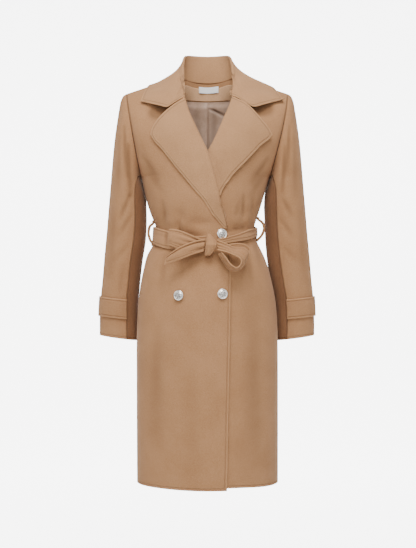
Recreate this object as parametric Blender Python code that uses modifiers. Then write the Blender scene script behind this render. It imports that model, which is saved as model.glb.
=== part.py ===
"""Notched lapel coat: a belted, double-breasted wool coat, filled out as worn but empty.

Metres, +Z up. -Y is the front, -X the wearer's right. The origin is midway between the two
points where the neck meets the shoulder seams, where the wearer's shoulders carry the coat.
"""
import math

import bpy
import numpy as np
from mathutils import Vector

COAT = "notched_lapel_coat"

# Cloth
WOOL = 0.0026            # one panel of coating, with its lining or facing
DOUBLED = 0.0030         # collar and lapel: two layers turned and pressed
SEAM = 0.0003            # gap between two pieces that are sewn edge to edge
REST = 0.0012            # air under a piece that lies on a panel

# Levels
HEM_Z = -1.0095
UNDERARM_Z = -0.2525
BREAK_Z = -0.392         # where the lapels end and the front edge begins
SHOULDER_TIP_Z = -0.042
SHOULDER_SLOPE = 0.336   # fall of the shoulder seam for each metre outwards

# Breadths
NECK_HALF = 0.075        # neck point to the centre
SHOULDER_HALF = 0.200
CHEST_DEPTH = 0.125      # from the side seam forward to the chest
BLADE_DEPTH = 0.098      # and back to the shoulder blades
NECK_BACK = 0.068        # back of the neck, behind the neck points
NECK_DROP = 0.008        # how far it lies below them
ARM_DEPTH = 0.090        # sets how far the armhole reaches forward and back
NECK_ROUND = 0.68        # exponent that rounds the shoulder over to the front
ARMHOLE_ROUND = 0.60     # and the one that rounds the bottom of the armhole
RIDGE_SOFTNESS = 0.006   # rounds the shoulder line where it leaves the neck
NECK_MARGIN = 0.003      # the back of the neck begins this far outside the neck points
NECK_BLUNT = 0.8         # exponent of the neck's own section
NECK_WIDENS = 0.35       # how much deeper the neck's section is at the underarm
BLEND = 6                # exponent that joins the neck's section to the back's
ARM_POWER = {-1: 1.05, 1: 1.35}      # how fast the armhole's edge leaves the side seam, by side

WOOL_COLOUR = (0.48, 0.30, 0.18, 1.0)
LINING_COLOUR = (0.33, 0.25, 0.20, 1.0)
LABEL_COLOUR = (0.90, 0.90, 0.90, 1.0)
SILVER_COLOUR = (0.80, 0.79, 0.76, 1.0)


# ---------------------------------------------------------------- tables and curves

def column(rows, index):
    """One column of a table."""
    return [row[index] for row in rows]


def smooth_curve(knots, values):
    """A function through the knots with no overshoot (monotone cubic)."""
    knots = np.array(knots, dtype=float)
    values = np.array(values, dtype=float)
    if knots[0] > knots[-1]:
        knots = knots[::-1]
        values = values[::-1]
    step = np.diff(knots)
    slope = np.diff(values) / step
    tangent = np.zeros_like(values)
    tangent[0] = slope[0]
    tangent[-1] = slope[-1]
    for i in range(1, len(values) - 1):
        if slope[i - 1] * slope[i] > 0:
            tangent[i] = 2 * slope[i - 1] * slope[i] / (slope[i - 1] + slope[i])

    def at(position):
        position = np.clip(np.asarray(position, dtype=float), knots[0], knots[-1])
        i = np.clip(np.searchsorted(knots, position, side="right") - 1, 0, len(step) - 1)
        t = (position - knots[i]) / step[i]
        left = values[i] * (1 + 2 * t) * (1 - t) ** 2 + tangent[i] * step[i] * t * (1 - t) ** 2
        right = values[i + 1] * t * t * (3 - 2 * t) + tangent[i + 1] * step[i] * t * t * (t - 1)
        return left + right

    return at


def ease(value, start, end):
    """0 before start, 1 after end, smooth between."""
    t = np.clip((np.asarray(value, dtype=float) - start) / (end - start), 0.0, 1.0)
    return t * t * (3 - 2 * t)


def bump(value, middle, width):
    """1 at the middle, fading to 0 about two widths away."""
    return np.exp(-((np.asarray(value, dtype=float) - middle) / width) ** 2)


def path_curve(points):
    """A function of 0..1 along straight lines through the points, by length."""
    points = np.array(points, dtype=float)
    run = np.concatenate([[0.0], np.cumsum(np.linalg.norm(np.diff(points, axis=0), axis=1))])
    run /= run[-1]

    def at(t):
        t = np.clip(np.asarray(t, dtype=float), 0.0, 1.0)
        return np.stack([np.interp(t, run, points[:, k]) for k in range(points.shape[1])], axis=-1)

    return at


# ---------------------------------------------------------------- the body's shape

# Below the underarm: height, half width on the wearer's right and left, depth in front and
# behind, and how much flatter than an ellipse the section is between its middle and its sides.
BODY = (
    (-1.0095, 0.1750, 0.1775, 0.1400, 0.1350, 0.06),
    (-0.9000, 0.1755, 0.1775, 0.1400, 0.1360, 0.06),
    (-0.7800, 0.1760, 0.1775, 0.1395, 0.1370, 0.06),
    (-0.6700, 0.1760, 0.1770, 0.1385, 0.1370, 0.05),
    (-0.5800, 0.1730, 0.1738, 0.1360, 0.1350, 0.05),
    (-0.5275, 0.1675, 0.1650, 0.1325, 0.1300, 0.04),
    (-0.4875, 0.1600, 0.1560, 0.1285, 0.1230, 0.03),
    (-0.4475, 0.1500, 0.1420, 0.1230, 0.1140, 0.02),
    (-0.4275, 0.1400, 0.1330, 0.1185, 0.1080, 0.01),
    (-0.4100, 0.1300, 0.1235, 0.1150, 0.1040, 0.00),
    (-0.3920, 0.1270, 0.1190, 0.1130, 0.1020, 0.00),
    (-0.3740, 0.1285, 0.1190, 0.1140, 0.1030, 0.00),
    (-0.3475, 0.1390, 0.1270, 0.1190, 0.1060, 0.00),
    (-0.3050, 0.1525, 0.1400, 0.1240, 0.1080, 0.00),
    (-0.2525, 0.1640, 0.1560, 0.1250, 0.1060, 0.00),
)

right_width = smooth_curve(column(BODY, 0), column(BODY, 1))
left_width = smooth_curve(column(BODY, 0), column(BODY, 2))
front_depth = smooth_curve(column(BODY, 0), column(BODY, 3))
back_depth = smooth_curve(column(BODY, 0), column(BODY, 4))
flatness = smooth_curve(column(BODY, 0), column(BODY, 5))

# Troughs pressed into the panels: side (-1 front, +1 back), x and z of the deepest point,
# half width, half height and depth.
TROUGHS = (
    (-1, -0.067, -0.366, 0.010, 0.020, 0.0075),
    (-1, -0.105, -0.352, 0.012, 0.028, 0.0040),
    (-1, 0.088, -0.352, 0.008, 0.030, 0.0050),
    (-1, 0.110, -0.340, 0.007, 0.030, 0.0035),
    (-1, -0.020, -0.371, 0.026, 0.012, 0.0040),
    (1, -0.075, -0.352, 0.011, 0.030, 0.0050),
    (1, -0.028, -0.360, 0.012, 0.026, 0.0045),
    (1, 0.030, -0.356, 0.011, 0.030, 0.0050),
    (1, 0.080, -0.350, 0.011, 0.026, 0.0045),
    (1, -0.052, -0.432, 0.013, 0.026, 0.0040),
    (1, 0.056, -0.430, 0.013, 0.028, 0.0040),
    (1, 0.004, -0.436, 0.014, 0.022, 0.0035),
)


def trough_depth(x, z, face):
    """How far the panel is pressed in at x, z."""
    total = np.zeros_like(np.asarray(x, dtype=float))
    for side, middle_x, middle_z, half_width, half_height, depth in TROUGHS:
        if side == face:
            total = total + depth * bump(x, middle_x, half_width) * bump(z, middle_z, half_height)
    return total


def shoulder_top(x):
    """Height of the shoulder seam above x: level over the neck, then falling outwards."""
    outwards = np.abs(x) - NECK_HALF
    return -SHOULDER_SLOPE * (outwards + np.sqrt(outwards ** 2 + RIDGE_SOFTNESS ** 2)) / 2


def arm_plane(rise, side):
    """Distance from the centre to the armhole, by how far up it is (0 underarm, 1 shoulder)."""
    under = right_width(UNDERARM_Z) if side < 0 else left_width(UNDERARM_Z)
    return under + (SHOULDER_HALF - under) * (1 - np.clip(1 - rise, 0, 1) ** ARM_POWER[side])


def arm_depth(rise):
    """How far the armhole reaches forward, and back, at that height."""
    rise = np.clip(rise, 0.0, 1.0)
    return ARM_DEPTH * rise ** ARMHOLE_ROUND * (1 - rise ** 2) ** NECK_ROUND


def section_widths(level):
    """Half widths (right, left) at a level: level is z below the underarm, else 1 + rise."""
    rise = np.clip(level - 1.0, 0.0, 1.0)
    below = np.minimum(level, UNDERARM_Z)
    upper = level >= 1.0
    right = np.where(upper, arm_plane(rise, -1), right_width(below))
    left = np.where(upper, arm_plane(rise, 1), left_width(below))
    return right, left


def sine_at(x, level):
    """The sine of the angle from the front centre at which the section has this x."""
    right, left = section_widths(level)
    mean = (right + left) / 2
    half_difference = (left - right) / 2
    even = np.abs(half_difference) < 1e-6
    safe = np.where(even, 1e-6, half_difference)
    root = np.sqrt(np.maximum(mean ** 2 + 4 * safe * x, 0.0))
    return np.clip(np.where(even, x / mean, (root - mean) / (2 * safe)), -1.0, 1.0)


def body_point(angle, level, face):
    """A point on the outside of the body. face is -1 for the front, 1 for the back."""
    angle = np.asarray(angle, dtype=float)
    level = np.asarray(level, dtype=float)
    sine = np.sin(angle)
    cosine = np.maximum(np.cos(angle), 0.0)
    right, left = section_widths(level)
    x = (right + left) / 2 * sine + (left - right) / 2 * sine ** 2
    upper = level >= 1.0
    rise = np.clip(level - 1.0, 0.0, 1.0)
    below = np.minimum(level, UNDERARM_Z)
    z = np.where(upper, UNDERARM_Z + rise * (shoulder_top(x) - UNDERARM_Z), below)

    depth = front_depth(below) if face < 0 else back_depth(below)
    flat = 1 - flatness(below) * (2 * sine * cosine) ** 2
    skirt_y = depth * cosine * flat

    over = (1 - rise ** 2) ** NECK_ROUND
    at_arm = arm_depth(rise)
    near_arm = 1 + (1 - rise) ** 3
    if face < 0:
        chest_y = CHEST_DEPTH * over * cosine + at_arm * (1 - cosine) ** near_arm
    else:
        blade = BLADE_DEPTH + (back_depth(UNDERARM_Z) - BLADE_DEPTH) * (1 - rise) ** 2
        side_y = blade * over * cosine + at_arm * (1 - cosine) ** near_arm
        neck = NECK_BACK * np.maximum(1 - (x / (NECK_HALF + NECK_MARGIN)) ** 2, 0.0) ** NECK_BLUNT
        neck = neck * (1 + NECK_WIDENS * (1 - rise)) * ease(rise, 0.05, 0.6)
        chest_y = (side_y ** BLEND + neck ** BLEND) ** (1 / BLEND)
    y = np.where(upper, chest_y, skirt_y)
    y = np.maximum(y - trough_depth(x, z, face) * cosine, 0.0)
    return np.stack([x, face * y, z], axis=-1)


def front_y(x, z):
    """The y of the outside of the front at x, z."""
    x = np.asarray(x, dtype=float)
    z = np.asarray(z, dtype=float)
    rise = (z - UNDERARM_Z) / (shoulder_top(x) - UNDERARM_Z)
    level = np.where(z > UNDERARM_Z, 1.0 + np.clip(rise, 0.0, 1.0), z)
    angle = np.arcsin(sine_at(x, level))
    return body_point(angle, level, -1)[..., 1]


# ---------------------------------------------------------------- making solids

def material(name, colour, roughness, metallic=0.0):
    """A plain surface finish, made once."""
    if name in bpy.data.materials:
        return bpy.data.materials[name]
    finish = bpy.data.materials.new(name)
    finish.use_nodes = True
    shader = finish.node_tree.nodes["Principled BSDF"]
    shader.inputs["Base Color"].default_value = colour
    shader.inputs["Roughness"].default_value = roughness
    shader.inputs["Metallic"].default_value = metallic
    return finish


def wool():
    return material("camel_wool", WOOL_COLOUR, 0.9)


def new_object(name, mesh, finish):
    """Link a mesh to the coat's collection under its name."""
    piece = bpy.data.objects.new(name, mesh)
    piece.data.materials.append(finish)
    bpy.data.collections[COAT].objects.link(piece)
    return piece


def normals_of(face, us, vs, outside):
    """Unit normals of a surface, pointing to the side where outside(point, normal) > 0."""
    small = 1e-4
    u, v = np.meshgrid(us, vs, indexing="ij")
    reach_u = small * (us[-1] - us[0])
    reach_v = small * (vs[-1] - vs[0])
    low_u = np.maximum(u - reach_u, min(us[0], us[-1]))
    high_u = np.minimum(u + reach_u, max(us[0], us[-1]))
    low_v = np.maximum(v - reach_v, min(vs[0], vs[-1]))
    high_v = np.minimum(v + reach_v, max(vs[0], vs[-1]))
    along_u = face(high_u, v) - face(low_u, v)
    along_v = face(u, high_v) - face(u, low_v)
    normal = np.cross(along_u, along_v)
    normal /= np.maximum(np.linalg.norm(normal, axis=-1, keepdims=True), 1e-15)
    points = face(u, v)
    if np.mean(outside(points, normal)) < 0:
        normal = -normal
    return points, normal


def facing(direction):
    """Test for normals_of: the visible side looks along the direction."""
    direction = np.array(direction)
    return lambda points, normal: normal @ direction


def away_from(centre):
    """Test for normals_of: the visible side looks away from the centre."""
    centre = np.array(centre)
    return lambda points, normal: np.sum((points - centre) * normal, axis=-1)


def closed_wall(name, outer, inner, finish, around=False):
    """A solid between two grids of points, rimmed, and closed on itself where it goes around."""
    rows, columns = outer.shape[:2]
    count = rows * columns
    points = np.concatenate([outer.reshape(-1, 3), inner.reshape(-1, 3)])
    faces = []
    spans = columns if around else columns - 1
    for i in range(rows - 1):
        for j in range(spans):
            k = (j + 1) % columns
            corners = (i * columns + j, (i + 1) * columns + j, (i + 1) * columns + k, i * columns + k)
            faces.append(corners)
            faces.append(tuple(count + corners[c] for c in (0, 3, 2, 1)))
    for j in range(spans):
        k = (j + 1) % columns
        faces.append((j, k, count + k, count + j))
        last = (rows - 1) * columns
        faces.append((last + j, count + last + j, count + last + k, last + k))
    if not around:
        for i in range(rows - 1):
            a = i * columns
            b = (i + 1) * columns
            faces.append((a, count + a, count + b, b))
            a += columns - 1
            b += columns - 1
            faces.append((a, b, count + b, count + a))
    mesh = bpy.data.meshes.new(name)
    mesh.from_pydata([tuple(p) for p in points], [], faces)
    if signed_volume(points, faces) < 0:
        mesh.flip_normals()
    mesh.update()
    mesh.shade_smooth()
    mesh.set_sharp_from_angle(angle=math.radians(40))
    return new_object(name, mesh, finish)


def signed_volume(points, faces):
    """Positive where the faces point out."""
    total = 0.0
    for face in faces:
        a = points[face[0]]
        for i in range(1, len(face) - 1):
            total += float(np.dot(a, np.cross(points[face[i]], points[face[i + 1]])))
    return total / 6


def cloth(name, face, us, vs, thickness, outside, keep=None, lift=0.0, finish=None):
    """A wall of cloth whose visible side is face(u, v), with its thickness behind it."""
    points, normal = normals_of(face, np.array(us, dtype=float), np.array(vs, dtype=float), outside)
    outer = points + normal * lift
    inner = points + normal * (lift - thickness)
    if keep is not None:
        outer = keep(outer)
        inner = keep(inner)
    return closed_wall(name, outer, inner, finish or wool())


# ---------------------------------------------------------------- the panels

SKIRT_LEVELS = (HEM_Z, -0.93, -0.84, -0.75, -0.67, -0.60, -0.55, -0.51, -0.475, -0.445,
                -0.42, -0.402, -0.388, -0.372, -0.355, -0.335, -0.31, -0.28, UNDERARM_Z - 0.0004)
FACING_RISE = 0.794      # lower edge of the back neck facing
CHEST_RISES = (0.0, 0.02, 0.07, 0.15, 0.26, 0.38, 0.50, 0.62, 0.72, FACING_RISE, 0.88, 0.955, 0.99, 1.0)
LEVELS = SKIRT_LEVELS + tuple(1.0 + rise for rise in CHEST_RISES)
BACK_COLUMNS = 20        # divisions of the back across its breadth

# The fold along which the top lapel turns back: height and distance from the centre towards the
# wearer's left. It goes on above as the neckline to the neck point, and below as the front edge.
TOP_EDGE = (
    (HEM_Z, 0.0480), (-0.80, 0.0520), (-0.60, 0.0560), (-0.46, 0.0575), (-0.41, 0.0565),
    (-0.3900, 0.0534), (-0.3410, 0.0423), (-0.3050, 0.0324), (-0.2640, 0.0238),
    (-0.2320, 0.0155), (-0.1950, 0.0038), (-0.1705, -0.0079), (-0.1357, -0.0236),
    (-0.0995, -0.0394), (-0.0655, -0.0492), (-0.0565, -0.0525), (-0.0400, -0.0575), (-0.0200, -0.0650),
    (0.0, -0.0750),
)
edge_of_top = smooth_curve(column(TOP_EDGE, 0), column(TOP_EDGE, 1))

# The under lapel's own fold: height and distance towards the wearer's left.
UNDER_EDGE = (
    (HEM_Z, -0.0480), (-0.60, -0.0560), (-0.41, -0.0565), (-0.3410, -0.0423), (-0.3050, -0.0324),
    (-0.2640, -0.0230), (-0.2320, -0.0140), (-0.2100, -0.0040), (-0.1940, 0.0041),
    (-0.1695, 0.0167), (-0.1422, 0.0288), (-0.1092, 0.0422), (-0.0831, 0.0533),
    (-0.0565, 0.0609), (-0.0300, 0.0630), (0.0, 0.0750),
)
edge_of_under = smooth_curve(column(UNDER_EDGE, 0), column(UNDER_EDGE, 1))

FOLD_RADIUS = 0.0037     # of the lapel's roll, to its outside
EDGE_INSET = 0.0058      # the panel stops this far inside the roll
UNDERLAP = 0.0042        # how far the under front lies inside the top one
ROLL_LIFT = 0.0046       # how far the top front's fold rides up over the under lapel
CROSSING_Z = -0.207      # where the two folds cross
CROSSING_INSET = 0.005   # and how much further the under front stops short there
CROSSING_REACH = 0.016
ROLL_NEAR = (-0.045, -0.008)         # distances from its fold over which the top front rises
ROLL_BELOW = (-0.345, -0.300)        # heights over which that begins
ROLL_ABOVE = (-0.200, -0.165)        # and ends
TUCK_NEAR = (0.002, 0.022)           # distances beyond the top edge over which the tuck ends
TUCK_ABOVE = (-0.170, -0.130)        # and heights
HEM_STEP = 0.005         # how much shorter the under front is at the hem
HEM_STEP_HEIGHT = 0.12
HEM_STEP_ACROSS = (0.06, 0.16)


def level_height(level):
    """Height of a level near the front centre."""
    rise = np.clip(level - 1.0, 0.0, 1.0)
    return np.where(level >= 1.0, UNDERARM_Z * (1 - rise), np.minimum(level, UNDERARM_Z))


def fold_inset(z):
    """How far a front stops short of its fold line, where a lapel turns back over it."""
    return EDGE_INSET * ease(z, BREAK_Z - 0.012, BREAK_Z + 0.003) * (1 - ease(z, -0.022, -0.002))


def top_y(x, z):
    """The y of the outside of the right front, which rides over the under lapel at its fold."""
    near = ease(x - edge_of_top(z), *ROLL_NEAR)
    span = ease(z, *ROLL_BELOW) * (1 - ease(z, *ROLL_ABOVE))
    return front_y(x, z) - ROLL_LIFT * near * span


def under_y(x, z):
    """The y of the outside of the left front, which lies inside the right one."""
    tuck = UNDERLAP * (1 - ease(x - edge_of_top(z), *TUCK_NEAR)) * (1 - ease(z, *TUCK_ABOVE))
    return front_y(x, z) + tuck


def top_front(u, level):
    """Right front, from the side seam (u 0) to its edge (u 1)."""
    z = level_height(level)
    edge = np.arcsin(sine_at(edge_of_top(z) - fold_inset(z), level))
    angle = -math.pi / 2 + u * (edge + math.pi / 2)
    point = body_point(angle, level, -1)
    point[..., 1] += top_y(point[..., 0], point[..., 2]) - front_y(point[..., 0], point[..., 2])
    return point


def under_front(u, level):
    """Left front, from the side seam (u 0) to its edge (u 1), tucked inside the right one."""
    z = level_height(level)
    inset = fold_inset(z) + CROSSING_INSET * bump(z, CROSSING_Z, CROSSING_REACH)
    edge = np.arcsin(sine_at(edge_of_under(z) + inset, level))
    angle = math.pi / 2 + u * (edge - math.pi / 2)
    point = body_point(angle, level, -1)
    point[..., 1] += under_y(point[..., 0], point[..., 2]) - front_y(point[..., 0], point[..., 2])
    near_hem = 1 - ease(z, HEM_Z, HEM_Z + HEM_STEP_HEIGHT)
    point[..., 2] += HEM_STEP * near_hem * (1 - ease(point[..., 0], *HEM_STEP_ACROSS))
    return point


def back_panel(u, level):
    """The back, from the wearer's right side seam (u 0) to the left one (u 1)."""
    angle = -math.pi / 2 + u * math.pi
    point = body_point(angle, level, 1)
    x = point[..., 0]
    drop = NECK_DROP * np.maximum(1 - (x / NECK_HALF) ** 2, 0.0) * ease(level, 1.80, 2.0)
    point[..., 2] -= drop
    return point


def keep_front(points):
    points[..., 1] = np.minimum(points[..., 1], -SEAM / 2)
    return points


def keep_back(points):
    points[..., 1] = np.maximum(points[..., 1], SEAM / 2)
    return points


def build_body():
    def outward(points, normal):
        return points[..., 0] * normal[..., 0] + points[..., 1] * normal[..., 1]

    across = np.linspace(0, 1, 15)
    cloth("front_right", top_front, across, LEVELS, WOOL, outward, keep_front)
    cloth("front_left", under_front, across, LEVELS, WOOL, outward, keep_front)
    cloth("back", back_panel, np.linspace(0, 1, BACK_COLUMNS + 1), LEVELS, WOOL, outward, keep_back)


# ---------------------------------------------------------------- inside the back of the neck

FACING_SPAN = (7, 13)    # first and last of the back's columns under the facing
LINING_SPAN = (4, 16)    # and under the lining
THIN = 0.0012            # facing and lining
FACING_LIFT = -(WOOL + 0.0006)
SEWN_STEP = 0.002        # facing and lining stop this far, as a level, short of their seams
LABEL_ACROSS = (0.4646, 0.50, 0.5531)    # 56 mm, as shares of the back's breadth
LABEL_LEVELS = (1.892, 1.955, 1.968)     # 15.5 mm
LABEL_THICK = 0.0006
LABEL_STAND_OFF = 0.0010


def back_facets(u, level):
    """A point on the back's own flat facets, between its columns and levels."""
    levels = np.array(LEVELS)
    i = np.clip(np.floor(u * BACK_COLUMNS).astype(int), 0, BACK_COLUMNS - 1)
    k = np.clip(np.searchsorted(levels, level, side="right") - 1, 0, len(levels) - 2)
    a = (u * BACK_COLUMNS - i)[..., None]
    b = ((level - levels[k]) / (levels[k + 1] - levels[k]))[..., None]
    near = i / BACK_COLUMNS
    far = (i + 1) / BACK_COLUMNS
    low = (1 - a) * back_panel(near, levels[k]) + a * back_panel(far, levels[k])
    high = (1 - a) * back_panel(near, levels[k + 1]) + a * back_panel(far, levels[k + 1])
    return (1 - b) * low + b * high


def build_inside():
    """Facing and lining repeat the back's own columns and levels, moved in."""
    behind = facing((0, 1, 0))
    lining = material("taupe_lining", LINING_COLOUR, 0.45)
    chest = [1 + rise for rise in CHEST_RISES]
    facing_row = CHEST_RISES.index(FACING_RISE)
    above = [chest[facing_row] + SEWN_STEP, chest[facing_row + 1], chest[-3] - SEWN_STEP]
    below = chest[1:facing_row] + [chest[facing_row] - SEWN_STEP]
    columns = np.linspace(0, 1, BACK_COLUMNS + 1)
    cloth("neck_facing", back_panel, columns[FACING_SPAN[0]:FACING_SPAN[1] + 1], above, THIN, behind,
          lift=FACING_LIFT)
    cloth("back_lining", back_panel, columns[LINING_SPAN[0]:LINING_SPAN[1] + 1], below, THIN, behind,
          lift=FACING_LIFT, finish=lining)
    cloth("label", back_facets, LABEL_ACROSS, LABEL_LEVELS, LABEL_THICK, behind,
          lift=FACING_LIFT - THIN - LABEL_STAND_OFF, finish=material("label", LABEL_COLOUR, 0.6))


# ---------------------------------------------------------------- sleeves

# Rings from the armhole to the cuff, in the plane that stands across the sleeve: x and z of the
# outermost point, x of the innermost point on the wearer's right and left, its z, half the
# depth, how far back the ring's middle lies, and how far it has turned from the armhole's
# shape (0) to an ellipse (1).
SLEEVE = (
    (0.2000, -0.0420, 0.1640, 0.1560, -0.2525, 0.0500, 0.000, 0.00),
    (0.2085, -0.0465, 0.1655, 0.1575, -0.2560, 0.0520, 0.000, 0.15),
    (0.2150, -0.0590, 0.1660, 0.1580, -0.2590, 0.0550, 0.001, 0.35),
    (0.2195, -0.0810, 0.1665, 0.1580, -0.2630, 0.0580, 0.002, 0.55),
    (0.2250, -0.1150, 0.1665, 0.1570, -0.2680, 0.0610, 0.003, 0.75),
    (0.2305, -0.1530, 0.1655, 0.1560, -0.2740, 0.0630, 0.005, 0.90),
    (0.2350, -0.1950, 0.1635, 0.1545, -0.2830, 0.0640, 0.007, 1.00),
    (0.2390, -0.2400, 0.1605, 0.1515, -0.2970, 0.0630, 0.010, 1.00),
    (0.2430, -0.2850, 0.1570, 0.1480, -0.3200, 0.0610, 0.013, 1.00),
    (0.2475, -0.3350, 0.1530, 0.1460, -0.3550, 0.0580, 0.016, 1.00),
    (0.2525, -0.3900, 0.1535, 0.1465, -0.4030, 0.0550, 0.020, 1.00),
    (0.2585, -0.4500, 0.1620, 0.1515, -0.4600, 0.0520, 0.024, 1.00),
    (0.2640, -0.5100, 0.1690, 0.1620, -0.5190, 0.0490, 0.029, 1.00),
    (0.2695, -0.5600, 0.1740, 0.1720, -0.5700, 0.0465, 0.034, 1.00),
    (0.2715, -0.6050, 0.1745, 0.1740, -0.6160, 0.0440, 0.037, 1.00),
    (0.2720, -0.6470, 0.1745, 0.1740, -0.6600, 0.0430, 0.040, 1.00),
)
CUFF = len(SLEEVE) - 1
ring_numbers = tuple(range(CUFF + 1))
sleeve_column = [smooth_curve(ring_numbers, column(SLEEVE, k)) for k in range(8)]

# Where the two lengthwise seams run: ring, share of the breadth from the body's side, front
# and back.
SLEEVE_SEAMS = ((0, 0.02, 0.42), (2, 0.05, 0.40), (5, 0.11, 0.36), (8, 0.24, 0.31), (12, 0.28, 0.29),
                (15, 0.26, 0.28))
front_seam = smooth_curve(column(SLEEVE_SEAMS, 0), column(SLEEVE_SEAMS, 1))
back_seam = smooth_curve(column(SLEEVE_SEAMS, 0), column(SLEEVE_SEAMS, 2))
SEAM_TURN = 0.0036       # half the seam's gap, as an angle round the sleeve
BELOW_ARMHOLE = 0.004    # the sleeve keeps clear of the armhole's plane down to here


def sleeve_point(side, turn, ring):
    """A point on the sleeve. turn is 0 at the outermost side and grows over the front."""
    rise = (1 + np.cos(turn)) / 2
    outer_x = sleeve_column[0](ring)
    inner_x = sleeve_column[2 if side < 0 else 3](ring)
    rounding = sleeve_column[7](ring)
    x = inner_x + rise * (outer_x - inner_x)
    straight = SLEEVE[0][2 if side < 0 else 3]
    straight = straight + rise * (SHOULDER_HALF - straight)
    x = x + (arm_plane(rise, side) - straight) * (1 - rounding)
    z = sleeve_column[4](ring) + rise * (sleeve_column[1](ring) - sleeve_column[4](ring))
    ellipse = sleeve_column[5](ring) * np.abs(np.sin(turn))
    depth = (1 - rounding) * arm_depth(rise) + rounding * ellipse
    y = sleeve_column[6](ring) - np.sign(np.sin(turn)) * depth
    return np.stack([side * x, y, z], axis=-1)


def seam_turns(ring):
    """The turns at which the front and the back seam lie."""
    front = np.arccos(2 * front_seam(ring) - 1)
    back = np.arccos(2 * back_seam(ring) - 1)
    return front, back


def upper_sleeve(side):
    def face(u, ring):
        front, back = seam_turns(ring)
        start = front - SEAM_TURN
        return sleeve_point(side, start + u * (SEAM_TURN - back - start), ring)
    return face


def under_sleeve(side):
    def face(u, ring):
        front, back = seam_turns(ring)
        start = front + SEAM_TURN
        return sleeve_point(side, start + u * (2 * math.pi - back - SEAM_TURN - start), ring)
    return face


def clear_of_armhole(side):
    """Holds the sleeve's points outside the armhole's plane."""
    def keep(points):
        tip = SHOULDER_TIP_Z
        rise = np.clip((points[..., 2] - UNDERARM_Z) / (tip - UNDERARM_Z), 0.0, 1.0)
        limit = arm_plane(rise, side) + SEAM
        above = points[..., 2] > UNDERARM_Z - BELOW_ARMHOLE
        reach = np.where(above, np.maximum(np.abs(points[..., 0]), limit), np.abs(points[..., 0]))
        points[..., 0] = side * reach
        return points
    return keep


# The upper sleeve is one piece of cloth, made here as three solids along its length, each short
# enough for its collision to follow the wall: name and the rings between which it runs.
SLEEVE_LENGTHS = (("head", 0, 5), ("elbow", 5, 10), ("cuff", 10, CUFF))
LENGTH_GAP = 0.003       # half the gap between two of them, as a share of a ring
STRAP_RINGS = (12.76, 13.30, 13.84)
STRAP = 0.0030
SLEEVE_AXIS = (0.205, 0.020)     # x and y, for telling the sleeve's outside from its inside


def build_sleeves():
    around = np.linspace(0, 1, 13)
    under = np.linspace(0, 1, 7)
    for side, name in ((-1, "right"), (1, "left")):
        def outward(points, normal, side=side):
            away_x = points[..., 0] - side * SLEEVE_AXIS[0]
            away_y = points[..., 1] - SLEEVE_AXIS[1]
            return away_x * normal[..., 0] + away_y * normal[..., 1]

        keep = clear_of_armhole(side)
        for part, first, last in SLEEVE_LENGTHS:
            rings = [float(ring) for ring in range(first, last + 1)]
            if first > 0:
                rings[0] += LENGTH_GAP
            if last < CUFF:
                rings[-1] -= LENGTH_GAP
            cloth("sleeve_%s_%s" % (part, name), upper_sleeve(side), around, rings, WOOL, outward, keep)
        cloth("sleeve_under_" + name, under_sleeve(side), under, ring_numbers, WOOL, outward, keep)
        cloth("sleeve_strap_" + name, upper_sleeve(side), around, STRAP_RINGS, STRAP, outward,
              lift=STRAP + REST)


# ---------------------------------------------------------------- lapels

SLOPE_STEP = 0.002       # reach over which a surface's slope is measured
LAPEL_HEIGHT = 2 * FOLD_RADIUS - WOOL    # the lapel's face stands this far off the panel
FOLD_MIDDLE = FOLD_RADIUS - WOOL         # level of the middle of the roll

# Outer edges, from the lower end to the point: x and z.
RIGHT_LAPEL_EDGE = ((0.0425, -0.3830), (0.0179, -0.3585), (-0.0079, -0.3176), (-0.0406, -0.2799),
                    (-0.0766, -0.2363), (-0.1121, -0.1904), (-0.1370, -0.1628), (-0.1387, -0.1541))
LEFT_LAPEL_EDGE = ((0.0325, -0.3046), (0.0399, -0.2876), (0.0644, -0.2529), (0.0963, -0.2203),
                   (0.1313, -0.1820), (0.1574, -0.1607), (0.1599, -0.1540))
# Upper edges, from the roll along the seam with the collar, then the free edge to the point.
RIGHT_LAPEL_TOP = ((-0.0516, -0.0590), (-0.0570, -0.0622), (-0.0777, -0.0755), (-0.0946, -0.0902),
                   (-0.1090, -0.1038), (-0.1234, -0.1199), (-0.1366, -0.1419), (-0.1387, -0.1541))
LEFT_LAPEL_TOP = ((0.0602, -0.0590), (0.0650, -0.0612), (0.0924, -0.0745), (0.1092, -0.0900),
                  (0.1318, -0.1165), (0.1567, -0.1457), (0.1599, -0.1540))
HIDDEN = 0.009           # how far the under lapel runs on beneath the top front's fold


def right_roll(t):
    z = RIGHT_LAPEL_EDGE[0][1] + t * (RIGHT_LAPEL_TOP[0][1] - RIGHT_LAPEL_EDGE[0][1])
    return np.stack([edge_of_top(z), z], axis=-1)


def left_roll(t):
    """Up beneath the top front's fold, then up the under lapel's own fold."""
    z = LEFT_LAPEL_EDGE[0][1] + t * (LEFT_LAPEL_TOP[0][1] - LEFT_LAPEL_EDGE[0][1])
    return np.stack([np.maximum(edge_of_under(z), edge_of_top(z) - HIDDEN), z], axis=-1)


def right_wrap(z):
    """The top lapel goes round its fold all the way."""
    return np.ones_like(z)


def left_wrap(z):
    """The under lapel goes round its own fold only, and ends flat beneath the top front."""
    return ease(edge_of_under(z) - edge_of_top(z) + HIDDEN, 0.0, 0.004)


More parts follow.
